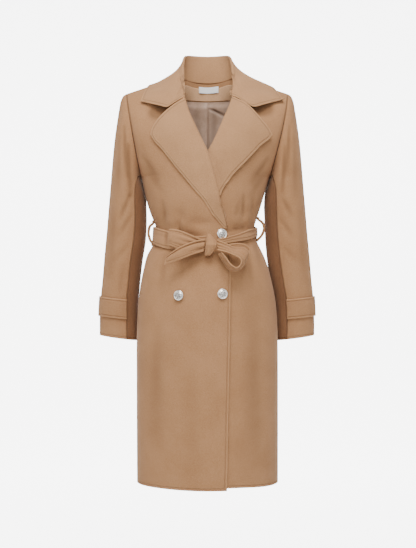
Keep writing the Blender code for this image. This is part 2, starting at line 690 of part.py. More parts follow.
def filled(roll, edge, top):
    """Fills the outline between the roll (s 0) and the outer edge (s 1), from t 0 up to t 1."""
    edge_at = path_curve(edge)
    top_at = path_curve((tuple(roll(np.ones(1))[0]),) + top[1:])
    corners = (np.array(edge[0]), np.array(edge[-1]))

    def at(t, s):
        t = np.asarray(t, dtype=float)
        s = np.asarray(s, dtype=float)
        a = t[..., None]
        b = s[..., None]
        start = roll(np.zeros(1))[0]
        finish = roll(np.ones(1))[0]
        sides = (1 - b) * roll(t) + b * edge_at(t)
        ends = (1 - a) * ((1 - b) * start + b * corners[0]) + a * top_at(s)
        both = (1 - a) * ((1 - b) * start + b * corners[0]) + a * ((1 - b) * finish + b * corners[1])
        return sides + ends - both
    return at


def lapel_face(plan, surface, wrap):
    """The lapel's visible side. s below 0 goes round the roll, from 0 up it lies on the chest."""
    def face(t, s):
        base = plan(t, np.zeros_like(s))
        ahead = plan(t, np.full_like(s, 0.15)) - base
        breadth = np.linalg.norm(plan(t, np.ones_like(s)) - base, axis=-1)
        direction = ahead / np.linalg.norm(ahead, axis=-1, keepdims=True)
        turn = np.clip(s, -1, 0) * math.pi + math.pi / 2
        share = FOLD_RADIUS / breadth
        share = share + (1 - share) * np.clip(s, 0, 1)
        folded = wrap(base[..., 1])
        reach = FOLD_RADIUS * (folded * (1 - np.cos(turn)) + (1 - folded) * (1 + np.clip(s, -1, 0)))
        rounded = folded * (FOLD_MIDDLE + FOLD_RADIUS * np.sin(turn)) + (1 - folded) * LAPEL_HEIGHT
        rolled = s < 0
        spot = np.where(rolled[..., None], base + direction * reach[..., None], plan(t, share))
        height = np.where(rolled, rounded, LAPEL_HEIGHT)
        x = spot[..., 0]
        z = spot[..., 1]
        lean_x = (surface(x + SLOPE_STEP, z) - surface(x - SLOPE_STEP, z)) / (2 * SLOPE_STEP)
        lean_z = (surface(x, z + SLOPE_STEP) - surface(x, z - SLOPE_STEP)) / (2 * SLOPE_STEP)
        tilt = np.sqrt(1 + lean_x ** 2 + lean_z ** 2)
        return np.stack([x, surface(x, z) - height * np.minimum(tilt, 1.6), z], axis=-1)
    return face


def build_lapels():
    along = np.linspace(0, 1, 15)
    arc = tuple(np.linspace(-1, -0.2, 5)) + (0.0,)
    flat = (0.15, 0.32, 0.5, 0.68, 0.85, 1.0)
    forward = facing((0, -1, 0))
    right = lapel_face(filled(right_roll, RIGHT_LAPEL_EDGE, RIGHT_LAPEL_TOP), top_y, right_wrap)
    left = lapel_face(filled(left_roll, LEFT_LAPEL_EDGE, LEFT_LAPEL_TOP), under_y, left_wrap)
    cloth("lapel_right", right, along, arc + flat, DOUBLED, forward)
    cloth("lapel_left", left, along, arc + flat, DOUBLED, forward)


# ---------------------------------------------------------------- collar

# Stations from the centre back (0) round to the collar's front end (6): the roll, x on the
# wearer's right and left, y and z; the foot of the stand, x, y and z; the outer edge, x on the
# right and left, and z; and half the width of the roll.
COLLAR = (
    (0.0000, 0.0000, 0.0780, 0.0690, 0.0000, 0.0640, -0.0068, 0.0000, 0.0000, -0.0470, 0.0050),
    (0.0300, 0.0310, 0.0700, 0.0690, 0.0320, 0.0535, -0.0058, 0.0520, 0.0550, -0.0462, 0.0050),
    (0.0500, 0.0515, 0.0480, 0.0660, 0.0560, 0.0320, -0.0020, 0.0940, 0.1030, -0.0430, 0.0050),
    (0.0575, 0.0595, 0.0200, 0.0500, 0.0690, 0.0135, 0.0020, 0.1235, 0.1370, -0.0350, 0.0048),
    (0.0580, 0.0615, 0.0000, 0.0280, 0.0725, -0.0020, 0.0020, 0.1435, 0.1620, -0.0215, 0.0045),
    (0.0560, 0.0620, -0.0300, -0.0050, 0.0620, -0.0240, -0.0150, 0.1558, 0.1762, -0.0398, 0.0040),
    (0.0530, 0.0609, -0.0690, -0.0550, 0.0562, -0.0650, -0.0545, 0.1636, 0.1884, -0.0640, 0.0037),
)
COLLAR_END = len(COLLAR) - 1
COLLAR_ODD = (0, 1, 4, 7, 8)     # columns that change sign across the centre back


def collar_curve(index):
    """One column of the table, carried across the centre back so that it is smooth there."""
    values = column(COLLAR, index)
    sign = -1 if index in COLLAR_ODD else 1
    across = [sign * value for value in reversed(values[1:])] + values
    return smooth_curve(range(-COLLAR_END, COLLAR_END + 1), across)


collar_column = [collar_curve(k) for k in range(11)]
COLLAR_OFF = 0.0064      # the fall's visible side stands this far off the body
COLLAR_SPRING = 0.0030   # and this much further off at the centre back
COLLAR_TURNS = (3.4, 4.6)        # stations over which its edge passes from the back to the front
COLLAR_ENDS = 4.5        # station from which the front end takes its own outline
COLLAR_MIDDLE = (0.0, 0.0, -0.02)

# The front end of the collar: roll, seam with the lapel, notch, point. x and z.
RIGHT_COLLAR_END = ((-0.0530, -0.0545), (-0.0777, -0.0740), (-0.0946, -0.0886), (-0.1267, -0.0796),
                    (-0.1492, -0.0731), (-0.1636, -0.0690))
LEFT_COLLAR_END = ((0.0609, -0.0530), (0.0634, -0.0550), (0.0924, -0.0728), (0.1092, -0.0884),
                   (0.1341, -0.0806), (0.1668, -0.0694), (0.1884, -0.0612))


def back_y(x, z):
    """The y of the outside of the back at x, z above the underarm."""
    rise = np.clip((z - UNDERARM_Z) / (shoulder_top(x) - UNDERARM_Z), 0.0, 1.0)
    return body_point(np.arcsin(sine_at(x, 1 + rise)), 1 + rise, 1)[..., 1]


def unit(vector):
    return vector / np.maximum(np.linalg.norm(vector, axis=-1, keepdims=True), 1e-12)


def hermite(start, start_way, finish, finish_way, t):
    t = t[..., None]
    return ((1 + 2 * t) * (1 - t) ** 2 * start + t * (1 - t) ** 2 * start_way
            + t * t * (3 - 2 * t) * finish + t * t * (t - 1) * finish_way)


def off_shoulder(points, off):
    """Moves points nearer than off to the shoulders out to that distance, at their own x."""
    x = points[..., 0][..., None]
    level = 2 - 0.5 * np.linspace(0, 1, 60) ** 2
    level = np.broadcast_to(level, x.shape[:-1] + level.shape)
    angle = np.arcsin(sine_at(x, level))
    ahead = body_point(angle, level, -1)[..., 1:]
    behind = body_point(angle, level, 1)[..., 1:]
    line = np.concatenate([ahead[..., ::-1, :], behind[..., 1:, :]], axis=-2)
    way = unit(np.gradient(line, axis=-2))
    outwards = np.stack([-way[..., 1], way[..., 0]], axis=-1)
    apart = points[..., None, 1:] - line
    nearest = np.argmin(np.linalg.norm(apart, axis=-1), axis=-1)[..., None, None]
    outwards = np.take_along_axis(outwards, nearest, axis=-2)[..., 0, :]
    apart = np.take_along_axis(apart, nearest, axis=-2)[..., 0, :]
    short = np.maximum(off - np.sum(apart * outwards, axis=-1), 0.0)
    clear = np.where(points[..., 1] < 0, 0.060, 0.078)
    short = short * ease(np.abs(points[..., 0]), clear, clear + 0.008)
    moved = points.copy()
    moved[..., 1:] += outwards * short[..., None]
    return moved


def collar_point(station, t):
    """Visible side of the collar. station is negative on the wearer's right.

    t runs up the stand (0 to 1), round the roll (1 to 2) and down the fall (2 to 3).
    """
    side = np.where(station < 0, -1.0, 1.0)
    c = np.abs(station)
    right = station < 0
    roll = np.stack([side * np.where(right, collar_column[0](c), collar_column[1](c)),
                     collar_column[2](c), collar_column[3](c)], axis=-1)
    foot = np.stack([side * collar_column[4](c), collar_column[5](c), collar_column[6](c)], axis=-1)
    edge_x = side * np.where(right, collar_column[7](c), collar_column[8](c))
    edge_z = collar_column[9](c)
    behind = back_y(edge_x, edge_z) + COLLAR_OFF + COLLAR_SPRING * (1 - ease(c, 1.5, COLLAR_TURNS[0]))
    ahead = front_y(edge_x, edge_z) - COLLAR_OFF
    over = ease(c, *COLLAR_TURNS)
    edge = np.stack([edge_x, behind * (1 - over) + ahead * over, edge_z], axis=-1)
    half = collar_column[10](c)[..., None]
    inward = unit(unit(foot - roll) + unit(edge - roll))
    across = edge - roll
    across = unit(across - np.sum(across * inward, axis=-1, keepdims=True) * inward)
    middle = roll + inward * half
    turn = (np.clip(t, 1, 2) - 1.5)[..., None] * math.pi
    arc = middle - inward * half * np.cos(turn) + across * half * np.sin(turn)
    low = middle - across * half
    high = middle + across * half
    stand = hermite(foot, (low - foot) * 1.0, low, -inward * 0.3 * np.linalg.norm(low - foot, axis=-1,
                    keepdims=True), np.clip(t, 0, 1))
    length = np.linalg.norm(edge - high, axis=-1, keepdims=True)
    fall_t = np.clip(t - 2, 0, 1)
    fall = hermite(high, inward * length * 0.5, edge, unit(edge - high) * length, fall_t)
    point = np.where((t <= 1)[..., None], stand, np.where((t <= 2)[..., None], arc, fall))

    ending = ease(c, COLLAR_ENDS, COLLAR_END)
    share = np.clip(t - 1.5, 0, 1.5) / 1.5
    end_plan = np.where(right[..., None], path_curve(RIGHT_COLLAR_END)(share),
                        path_curve(LEFT_COLLAR_END)(share))
    bend = (ending * ease(t, 1.5, 2.2))[..., None]
    plan = np.stack([point[..., 0], point[..., 2]], axis=-1) * (1 - bend) + end_plan * bend
    lying = ease(c, 4.0, 4.8) * ease(t, 1.5, 2.0)
    chest = front_y(plan[..., 0], plan[..., 1])
    off = COLLAR_OFF + 0.0015 * (1 - ending)
    y = np.where(lying > 0, np.minimum(point[..., 1], chest - off) * lying + point[..., 1] * (1 - lying),
                 point[..., 1])
    flat_y = chest - LAPEL_HEIGHT * 1.15
    y = y * (1 - bend[..., 0]) + flat_y * bend[..., 0]
    point = np.stack([plan[..., 0], y, plan[..., 1]], axis=-1)
    falling = ease(t, 1.5, 2.0)[..., None]
    return point + (off_shoulder(point, COLLAR_OFF) - point) * falling


def build_collar():
    half = (0.001, 0.5, 1.0, 1.5, 2.0, 2.5, 3.0, 3.5, 4.0, 4.4, 4.8, 5.2, 5.6, 6.0)
    stations = tuple(-c for c in reversed(half[1:])) + (0.001,) + half[1:]
    across = (0.0, 0.4, 0.75, 1.0, 1.25, 1.5, 1.75, 2.0, 2.2, 2.4, 2.6, 2.8, 3.0)

    def outward(points, normal):
        away = points - np.array(COLLAR_MIDDLE)
        fall = np.zeros(points.shape[:-1])
        fall[..., 8:] = 1.0
        return np.sum(away * normal, axis=-1) * fall

    cloth("collar", collar_point, stations, across, DOUBLED, outward)


# ---------------------------------------------------------------- belt

BELT = 0.0040
# Round the waist from the knot's right side, over the wearer's right hip and the back, to the
# knot's left side: angle from the front centre, z of the upper and the lower edge, and the
# air between the belt and the coat.
BELT_ROUND = (
    (-0.5, -0.4005, -0.4290, 0.0045),
    (-14, -0.4020, -0.4340, 0.0040),
    (-36, -0.3940, -0.4320, 0.0030),
    (-54, -0.3840, -0.4255, 0.0025),
    (-76, -0.3760, -0.4165, 0.0025),
    (-92, -0.3745, -0.4100, 0.0025),
    (-125, -0.3715, -0.4170, 0.0025),
    (-180, -0.3700, -0.4190, 0.0025),
    (-240, -0.3705, -0.4160, 0.0025),
    (-268, -0.3765, -0.3975, 0.0030),
    (-290, -0.3800, -0.4010, 0.0030),
    (-305, -0.3830, -0.4070, 0.0040),
    (-322, -0.3940, -0.4130, 0.0050),
    (-340, -0.4040, -0.4190, 0.0065),
    (-349, -0.4075, -0.4250, 0.0070),
)
belt_columns = [smooth_curve(range(len(BELT_ROUND)), column(BELT_ROUND, k)) for k in range(4)]


def waist_point(angle, z, off):
    """A point off the coat at an angle all the way round (0 front, negative to the right)."""
    angle = np.radians(angle)
    front = np.cos(angle) >= 0
    fold = np.arcsin(np.sin(angle))
    ahead = body_point(fold, z, -1)
    behind = body_point(fold, z, 1)
    ahead[..., 1] -= trough_depth(ahead[..., 0], z, -1) * np.cos(fold)
    behind[..., 1] += trough_depth(behind[..., 0], z, 1) * np.cos(fold)
    point = np.where(front[..., None], ahead, behind)
    away = np.stack([np.sin(angle), -np.cos(angle), np.zeros_like(angle)], axis=-1)
    return point + away * np.asarray(off)[..., None]


def belt_face(u, v):
    angle, top, bottom, air = (curve(u) for curve in belt_columns)
    upper = waist_point(angle, top, air + BELT)
    lower = waist_point(angle, bottom, air + BELT)
    return upper + (lower - upper) * v[..., None]


# Ribbons: each row is a section, x, y, z of its upper edge and of its lower edge.
RIGHT_LOOP = (
    (-0.0048, -0.1395, -0.4117, -0.0048, -0.1395, -0.4339),
    (-0.0171, -0.1415, -0.4078, -0.0214, -0.1415, -0.4364),
    (-0.0375, -0.1420, -0.3989, -0.0404, -0.1420, -0.4377),
    (-0.0570, -0.1390, -0.3910, -0.0570, -0.1390, -0.4365),
    (-0.0750, -0.1330, -0.3858, -0.0750, -0.1330, -0.4313),
    (-0.0870, -0.1270, -0.3845, -0.0870, -0.1270, -0.4260),
    (-0.0925, -0.1215, -0.3855, -0.0925, -0.1215, -0.4245),
    (-0.0885, -0.1175, -0.3880, -0.0885, -0.1175, -0.4250),
    (-0.0770, -0.1190, -0.3915, -0.0770, -0.1190, -0.4290),
    (-0.0600, -0.1255, -0.3970, -0.0600, -0.1255, -0.4330),
    (-0.0380, -0.1305, -0.4030, -0.0380, -0.1305, -0.4350),
    (-0.0180, -0.1315, -0.4080, -0.0180, -0.1315, -0.4350),
    (-0.0048, -0.1315, -0.4120, -0.0048, -0.1315, -0.4330),
)
RIGHT_TAIL = (
    (-0.0047, -0.1445, -0.4099, -0.0083, -0.1440, -0.4391),
    (-0.0227, -0.1475, -0.4124, -0.0285, -0.1470, -0.4451),
    (-0.0454, -0.1500, -0.4196, -0.0474, -0.1480, -0.4522),
    (-0.0679, -0.1490, -0.4298, -0.0664, -0.1470, -0.4593),
    (-0.0853, -0.1450, -0.4411, -0.0854, -0.1430, -0.4659),
    (-0.0978, -0.1410, -0.4512, -0.1021, -0.1400, -0.4711),
)
LEFT_LOOP = (
    (0.0242, -0.1380, -0.4090, 0.0242, -0.1450, -0.4360),
    (0.0500, -0.1380, -0.4195, 0.0467, -0.1580, -0.4402),
    (0.0704, -0.1360, -0.4288, 0.0623, -0.1650, -0.4455),
    (0.0868, -0.1360, -0.4280, 0.0759, -0.1680, -0.4528),
    (0.1013, -0.1360, -0.4390, 0.0823, -0.1680, -0.4612),
    (0.0980, -0.1370, -0.4556, 0.0806, -0.1680, -0.4713),
    (0.0915, -0.1380, -0.4716, 0.0740, -0.1680, -0.4779),
    (0.0820, -0.1390, -0.4820, 0.0681, -0.1680, -0.4793),
    (0.0703, -0.1400, -0.4875, 0.0599, -0.1680, -0.4756),
    (0.0546, -0.1400, -0.4861, 0.0529, -0.1670, -0.4685),
    (0.0328, -0.1400, -0.4592, 0.0424, -0.1630, -0.4527),
    (0.0260, -0.1400, -0.4470, 0.0342, -0.1540, -0.4430),
)
LEFT_TAIL = (
    (0.0242, -0.1330, -0.4240, 0.0242, -0.1330, -0.4340),
    (0.0501, -0.1325, -0.4210, 0.0501, -0.1325, -0.4400),
    (0.0788, -0.1290, -0.4182, 0.0788, -0.1310, -0.4448),
    (0.0956, -0.1245, -0.4227, 0.0931, -0.1270, -0.4495),
    (0.1043, -0.1205, -0.4303, 0.1004, -0.1235, -0.4542),
)
TAPE = 0.0030            # the belt's two layers, pressed flat in the bow

# The knot, from its top to its bottom: z, x of its right and left side, y of its front.
KNOT = (
    (-0.3970, -0.0005, 0.0080, -0.1400),
    (-0.4030, -0.0020, 0.0170, -0.1460),
    (-0.4110, -0.0026, 0.0228, -0.1495),
    (-0.4220, -0.0030, 0.0233, -0.1510),
    (-0.4330, -0.0034, 0.0232, -0.1505),
    (-0.4420, -0.0042, 0.0195, -0.1475),
    (-0.4485, -0.0056, 0.0075, -0.1420),
)
KNOT_BACK_Y = -0.1310
KNOT_BLUNT = 0.6         # exponent that squares the knot's section


def ribbon(name, rows, per_row, thickness, outside):
    """A flat band through its sections, smooth along its length."""
    curves = [smooth_curve(range(len(rows)), column(rows, k)) for k in range(6)]

    def face(u, v):
        upper = np.stack([curve(u) for curve in curves[:3]], axis=-1)
        lower = np.stack([curve(u) for curve in curves[3:]], axis=-1)
        return upper + (lower - upper) * v[..., None]

    steps = np.linspace(0, len(rows) - 1, (len(rows) - 1) * per_row + 1)
    cloth(name, face, steps, (0.0, 0.5, 1.0), thickness, outside)


def build_knot():
    """A pulled band of cloth, rounded in front and flat behind."""
    around = 12
    sections = []
    for z, right, left, front in KNOT:
        middle = (right + left) / 2
        half = (left - right) / 2
        ring = []
        for k in range(around):
            turn = 2 * math.pi * k / around
            blunt = np.sign(math.cos(turn)) * abs(math.cos(turn)) ** KNOT_BLUNT
            reach = np.sign(math.sin(turn)) * abs(math.sin(turn)) ** KNOT_BLUNT
            depth = (front - KNOT_BACK_Y) / 2
            ring.append((middle + half * blunt, KNOT_BACK_Y + depth * (1 + reach), z))
        sections.append(ring)
    points = np.array(sections).reshape(-1, 3)
    faces = []
    for i in range(len(KNOT) - 1):
        for k in range(around):
            n = (k + 1) % around
            faces.append((i * around + k, i * around + n, (i + 1) * around + n, (i + 1) * around + k))
    faces.append(tuple(reversed(range(around))))
    last = (len(KNOT) - 1) * around
    faces.append(tuple(last + k for k in range(around)))
    mesh = bpy.data.meshes.new("belt_knot")
    mesh.from_pydata([tuple(p) for p in points], [], faces)
    if signed_volume(points, faces) < 0:
        mesh.flip_normals()
    mesh.update()
    mesh.shade_smooth()
    new_object("belt_knot", mesh, wool())


# Belt carriers near the side seams, from top to bottom: z, and how far the middle of the outside
# stands off the coat.
RIGHT_CARRIER = (
    (-0.3590, 0.0050), (-0.3620, 0.0054), (-0.3660, 0.0085), (-0.3715, 0.0148), (-0.3840, 0.0200),
    (-0.3920, 0.0208), (-0.4020, 0.0174), (-0.4100, 0.0130), (-0.4155, 0.0084), (-0.4190, 0.0050),
    (-0.4215, 0.0050),
)
LEFT_CARRIER = (
    (-0.3500, 0.0056), (-0.3530, 0.0060), (-0.3565, 0.0095), (-0.3620, 0.0170), (-0.3690, 0.0232),
    (-0.3775, 0.0252), (-0.3905, 0.0222), (-0.4000, 0.0155), (-0.4055, 0.0100), (-0.4090, 0.0062),
    (-0.4115, 0.0056),
)
CARRIER_WIDTH = 0.009
CARRIER_THICK = 0.0040
CARRIER_Y = -0.006
CARRIER_TWIST = 0.50     # how much further out the back edge of the loop stands, for its width
TWIST_OFF = (0.006, 0.016)


def build_carriers():
    for name, side, rows in (("right", -1, RIGHT_CARRIER), ("left", 1, LEFT_CARRIER)):
        places = range(len(rows))
        height = smooth_curve(places, column(rows, 0))
        off = smooth_curve(places, column(rows, 1))
        width = right_width if side < 0 else left_width

        def face(u, v, side=side, height=height, off=off, width=width):
            z = height(u)
            back = (v - 0.5) * CARRIER_WIDTH
            x = width(z) + off(u) + back * CARRIER_TWIST * ease(off(u), *TWIST_OFF)
            return np.stack([side * x, CARRIER_Y + back, z], axis=-1)

        steps = np.linspace(0, len(rows) - 1, 2 * len(rows) - 1)
        cloth("belt_carrier_" + name, face, steps, (0.0, 1.0), CARRIER_THICK, facing((side, 0, 0)))


def build_belt():
    def outward(points, normal):
        return points[..., 0] * normal[..., 0] + points[..., 1] * normal[..., 1]

    around = np.linspace(0, len(BELT_ROUND) - 1, 49)
    cloth("belt", belt_face, around, (0.0, 0.5, 1.0), BELT, outward)
    build_knot()
    forward = facing((0, -1, 0))
    ribbon("bow_loop_right", RIGHT_LOOP, 2, TAPE, away_from((-0.05, -0.125, -0.41)))
    ribbon("bow_tail_right", RIGHT_TAIL, 2, TAPE, forward)
    ribbon("bow_loop_left", LEFT_LOOP, 2, TAPE, away_from((0.06, -0.15, -0.45)))
    ribbon("bow_tail_left", LEFT_TAIL, 2, TAPE, forward)
    build_carriers()


# ---------------------------------------------------------------- buttons

# Profile of a domed button on its shank: radius and height above the coat.
BUTTON = ((0.0022, 0.0010), (0.0022, 0.0036), (0.0112, 0.0036), (0.0122, 0.0046), (0.0122, 0.0058),
          (0.0112, 0.0066), (0.0098, 0.0064), (0.0070, 0.0074), (0.0030, 0.0080))
BUTTON_SIDES = 20
BUTTON_PLACES = ((0.0348, -0.3966), (-0.0662, -0.5439), (0.0362, -0.5403))


def build_buttons():
    finish = material("silver", SILVER_COLOUR, 0.25, 1.0)
    for number, (x, z) in enumerate(BUTTON_PLACES, 1):
        y = float(front_y(x, z))
        reach = SLOPE_STEP
        lean_x = float(front_y(x + reach, z) - front_y(x - reach, z)) / (2 * reach)
        lean_z = float(front_y(x, z + reach) - front_y(x, z - reach)) / (2 * reach)
        mesh = bpy.data.meshes.new("button_%d" % number)
        profile = [(0.0, 0.0, BUTTON[-1][1])]
        profile += [(radius, 0.0, height) for radius, height in reversed(BUTTON)]
        profile += [(0.0, 0.0, BUTTON[0][1])]
        edges = [(i, i + 1) for i in range(len(profile) - 1)]
        mesh.from_pydata(profile, edges, [])
        piece = new_object("button_%d" % number, mesh, finish)
        turned = piece.modifiers.new("turned", "SCREW")
        turned.steps = BUTTON_SIDES
        turned.render_steps = BUTTON_SIDES
        turned.use_merge_vertices = True
        turned.merge_threshold = 0.00005
        turned.use_smooth_shade = True
        direction = Vector((lean_x, -1.0, lean_z)).normalized()
        piece.location = (x, y, z)
        piece.rotation_euler = direction.to_track_quat("Z", "Y").to_euler()


def main():
    for item in list(bpy.data.objects):
        bpy.data.objects.remove(item)
    collection = bpy.data.collections.new(COAT)
    bpy.context.scene.collection.children.link(collection)
    build_body()
    build_inside()
    build_sleeves()
    build_lapels()
    build_collar()
    build_belt()
    build_buttons()


main()
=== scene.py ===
"""Notched lapel coat in camel wool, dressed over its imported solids.

Every wall of cloth is read back from its solid as a grid of points, drawn finer through the same
points, creased, and closed again with a rounded edge. Metres, +Z up, -Y is the front and -X the
wearer's right.
"""
import heapq
import math

import bmesh
import bpy
import numpy as np
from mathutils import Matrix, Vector
from mathutils.bvhtree import BVHTree


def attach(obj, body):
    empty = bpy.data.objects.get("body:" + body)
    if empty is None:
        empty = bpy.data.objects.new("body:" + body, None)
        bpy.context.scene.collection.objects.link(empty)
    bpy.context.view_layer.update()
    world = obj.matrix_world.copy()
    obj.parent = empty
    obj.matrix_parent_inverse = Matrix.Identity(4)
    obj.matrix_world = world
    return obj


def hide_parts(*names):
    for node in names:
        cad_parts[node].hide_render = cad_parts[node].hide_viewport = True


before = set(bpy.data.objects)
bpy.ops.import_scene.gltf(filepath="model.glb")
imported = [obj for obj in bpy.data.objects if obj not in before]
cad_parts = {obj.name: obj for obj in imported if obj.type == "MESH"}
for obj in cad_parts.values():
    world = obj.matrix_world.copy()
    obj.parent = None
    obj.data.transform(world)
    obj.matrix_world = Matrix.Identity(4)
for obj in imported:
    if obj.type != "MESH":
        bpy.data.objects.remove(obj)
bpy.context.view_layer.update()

CAMERA_X = 0.0025
CAMERA_Z = -0.4925
DISTANCE = 2.8           # from the camera to the plane y = 0
VIEW_HEIGHT = 1.37       # seen at that distance
FLOOR_Z = -1.42
BACKDROP_GLOW = 5.6      # keeps the far backdrop white
BACKDROP_Y = 2.4         # where the floor starts to rise
BACKDROP_RADIUS = 1.6    # of its curve
ROOM_LIGHT = 0.12

# Lights: name, place, what it looks at, size and watts.
LIGHTS = (
    ("above", (-0.15, -2.0, 2.3), (0.0, 0.0, -0.10), (2.2, 1.3), 156.0),
    ("ahead", (0.0, -3.2, 0.9), (0.0, 0.0, -0.10), (1.2, 0.9), 36.0),
    ("right", (-2.6, -1.2, 0.6), (0.0, 0.0, -0.45), (1.2, 1.4), 22.0),
    ("left", (2.6, -1.2, 0.5), (0.0, 0.0, -0.45), (1.2, 1.4), 18.0),
)


# ------------------------ stage

def placed(name, data):
    """A new object in the scene."""
    thing = bpy.data.objects.new(name, data)
    bpy.context.scene.collection.objects.link(thing)
    return thing


def add_camera():
    data = bpy.data.cameras.new("camera")
    data.sensor_fit = "VERTICAL"
    data.sensor_height = 24.0
    data.lens = 12.0 / (VIEW_HEIGHT / 2 / DISTANCE)
    data.clip_end = 50.0
    camera = placed("camera", data)
    camera.location = (CAMERA_X, -DISTANCE, CAMERA_Z)
    camera.rotation_euler = (math.pi / 2, 0.0, 0.0)
    bpy.context.scene.camera = camera


def add_light(name, place, target, size, power):
    data = bpy.data.lights.new(name, "AREA")
    data.shape = "RECTANGLE"
    data.size, data.size_y = size
    data.energy = power
    light = placed(name, data)
    light.location = place
    light.rotation_euler = (Vector(target) - Vector(place)).to_track_quat("-Z", "Y").to_euler()


def add_stage():
    """A pale floor that curves up into a backdrop, a bright room and soft lights."""
    profile = [(-4.0, FLOOR_Z)]
    for turn in np.linspace(0.0, math.pi / 2, 13).tolist():
        profile.append((BACKDROP_Y + BACKDROP_RADIUS * math.sin(turn),
                        FLOOR_Z + BACKDROP_RADIUS * (1 - math.cos(turn))))
    profile.append((BACKDROP_Y + BACKDROP_RADIUS, 5.0))
    points = [(x, y, z) for y, z in profile for x in (-7.0, 7.0)]
    faces = [(2 * k, 2 * k + 1, 2 * k + 3, 2 * k + 2) for k in range(len(profile) - 1)]
    mesh = bpy.data.meshes.new("floor")
    mesh.from_pydata(points, [], faces)
    mesh.shade_smooth()
    mesh.materials.append(floor_material())
    placed("floor", mesh)

    world = bpy.data.worlds.new("studio")
    bpy.context.scene.world = world
    world.use_nodes = True
    background = world.node_tree.nodes["Background"]
    background.inputs["Color"].default_value = (1.0, 1.0, 1.0, 1.0)
    background.inputs["Strength"].default_value = ROOM_LIGHT
    for row in LIGHTS:
        add_light(*row)


# ------------------------ materials

class Nodes:
    """Short words for building a shader."""

    def __init__(self, name):
        self.finish = bpy.data.materials.new(name)
        self.finish.use_nodes = True
        self.tree = self.finish.node_tree
        self.shader = self.tree.nodes["Principled BSDF"]
        self.place = self.add("ShaderNodeTexCoord").outputs["Object"]

    def add(self, kind, **settings):
        node = self.tree.nodes.new(kind)
        for key, value in settings.items():
            setattr(node, key, value)
        return node

    def link(self, start, end):
        self.tree.links.new(start, end)

    def noise(self, scale, detail=3.0, rough=0.55, stretch=None):
        node = self.add("ShaderNodeTexNoise")
        node.inputs["Scale"].default_value = scale
        node.inputs["Detail"].default_value = detail
        node.inputs["Roughness"].default_value = rough
        if stretch:
            scaled = self.add("ShaderNodeMapping")
            scaled.inputs["Scale"].default_value = stretch
            self.link(self.place, scaled.inputs["Vector"])
            self.link(scaled.outputs["Vector"], node.inputs["Vector"])
        else:
            self.link(self.place, node.inputs["Vector"])
        return node.outputs["Fac"]

    def fix(self, values):
        """What is the same all over, set on the shader's own sockets."""
        for socket, value in values.items():
            self.shader.inputs[socket].default_value = value

    def drive(self, socket, value):
        self.link(value, self.shader.inputs[socket])

    def maths(self, operation, a, b=None):
        node = self.add("ShaderNodeMath", operation=operation)
        for slot, value in enumerate((a, b)):
            if value is None:
                continue
            if isinstance(value, (int, float)):
                node.inputs[slot].default_value = value
            else:
                self.link(value, node.inputs[slot])
        return node.outputs[0]

    def times(self, a, b):
        return self.maths("MULTIPLY", a, b)

    def spread(self, value, low, high, to_low=0.0, to_high=1.0):
        node = self.add("ShaderNodeMapRange", interpolation_type="SMOOTHSTEP")
        for key, number in (("From Min", low), ("From Max", high), ("To Min", to_low), ("To Max", to_high)):
            node.inputs[key].default_value = number
        self.link(value, node.inputs["Value"])
        return node.outputs["Result"]

    def blend(self, share, low, high):
        node = self.add("ShaderNodeMix", data_type="RGBA")
        self.link(share, node.inputs["Factor"])
        for slot, value in ((6, low), (7, high)):
            if isinstance(value, tuple):
                node.inputs[slot].default_value = value + (1.0,)
            else:
                self.link(value, node.inputs[slot])
        return node.outputs[2]

    def attribute(self, name):
        return self.add("ShaderNodeAttribute", attribute_name=name).outputs["Fac"]

    def bump(self, height, distance, before=None, strength=1.0):
        node = self.add("ShaderNodeBump")
        node.inputs["Distance"].default_value = distance
        node.inputs["Strength"].default_value = strength
        self.link(height, node.inputs["Height"])
        if before is not None:
            self.link(before, node.inputs["Normal"])
        return node.outputs["Normal"]


def floor_material():
    """Pale and matt, and lit from within where it is far behind the coat, like a studio backdrop."""
    n = Nodes("pale_floor")
    tone = n.blend(n.noise(3.0, 2.0), (0.86, 0.86, 0.86), (0.88, 0.88, 0.88))
    n.drive("Base Color", tone)
    n.fix({"Roughness": 0.9, "Emission Color": (1.0, 1.0, 1.0, 1.0)})
    split = n.add("ShaderNodeSeparateXYZ")
    n.link(n.place, split.inputs["Vector"])
    far = n.spread(split.outputs["Y"], 0.3, 1.0)
    sides = n.spread(n.maths("ABSOLUTE", split.outputs["X"]), 1.35, 2.1, 1.0, 0.0)
    top = n.spread(split.outputs["Z"], 1.4, 2.2, 1.0, 0.0)
    shown = n.times(n.times(far, sides), top)
    n.drive("Emission Strength", n.times(shown, BACKDROP_GLOW))
    return n.finish


# The pressed line of stitches, by distance from a finished edge: from, deep from, deep to, to. Its groove is
# darkened with painted shade.
GROOVE = (0.0038, 0.0052, 0.0060, 0.0078)


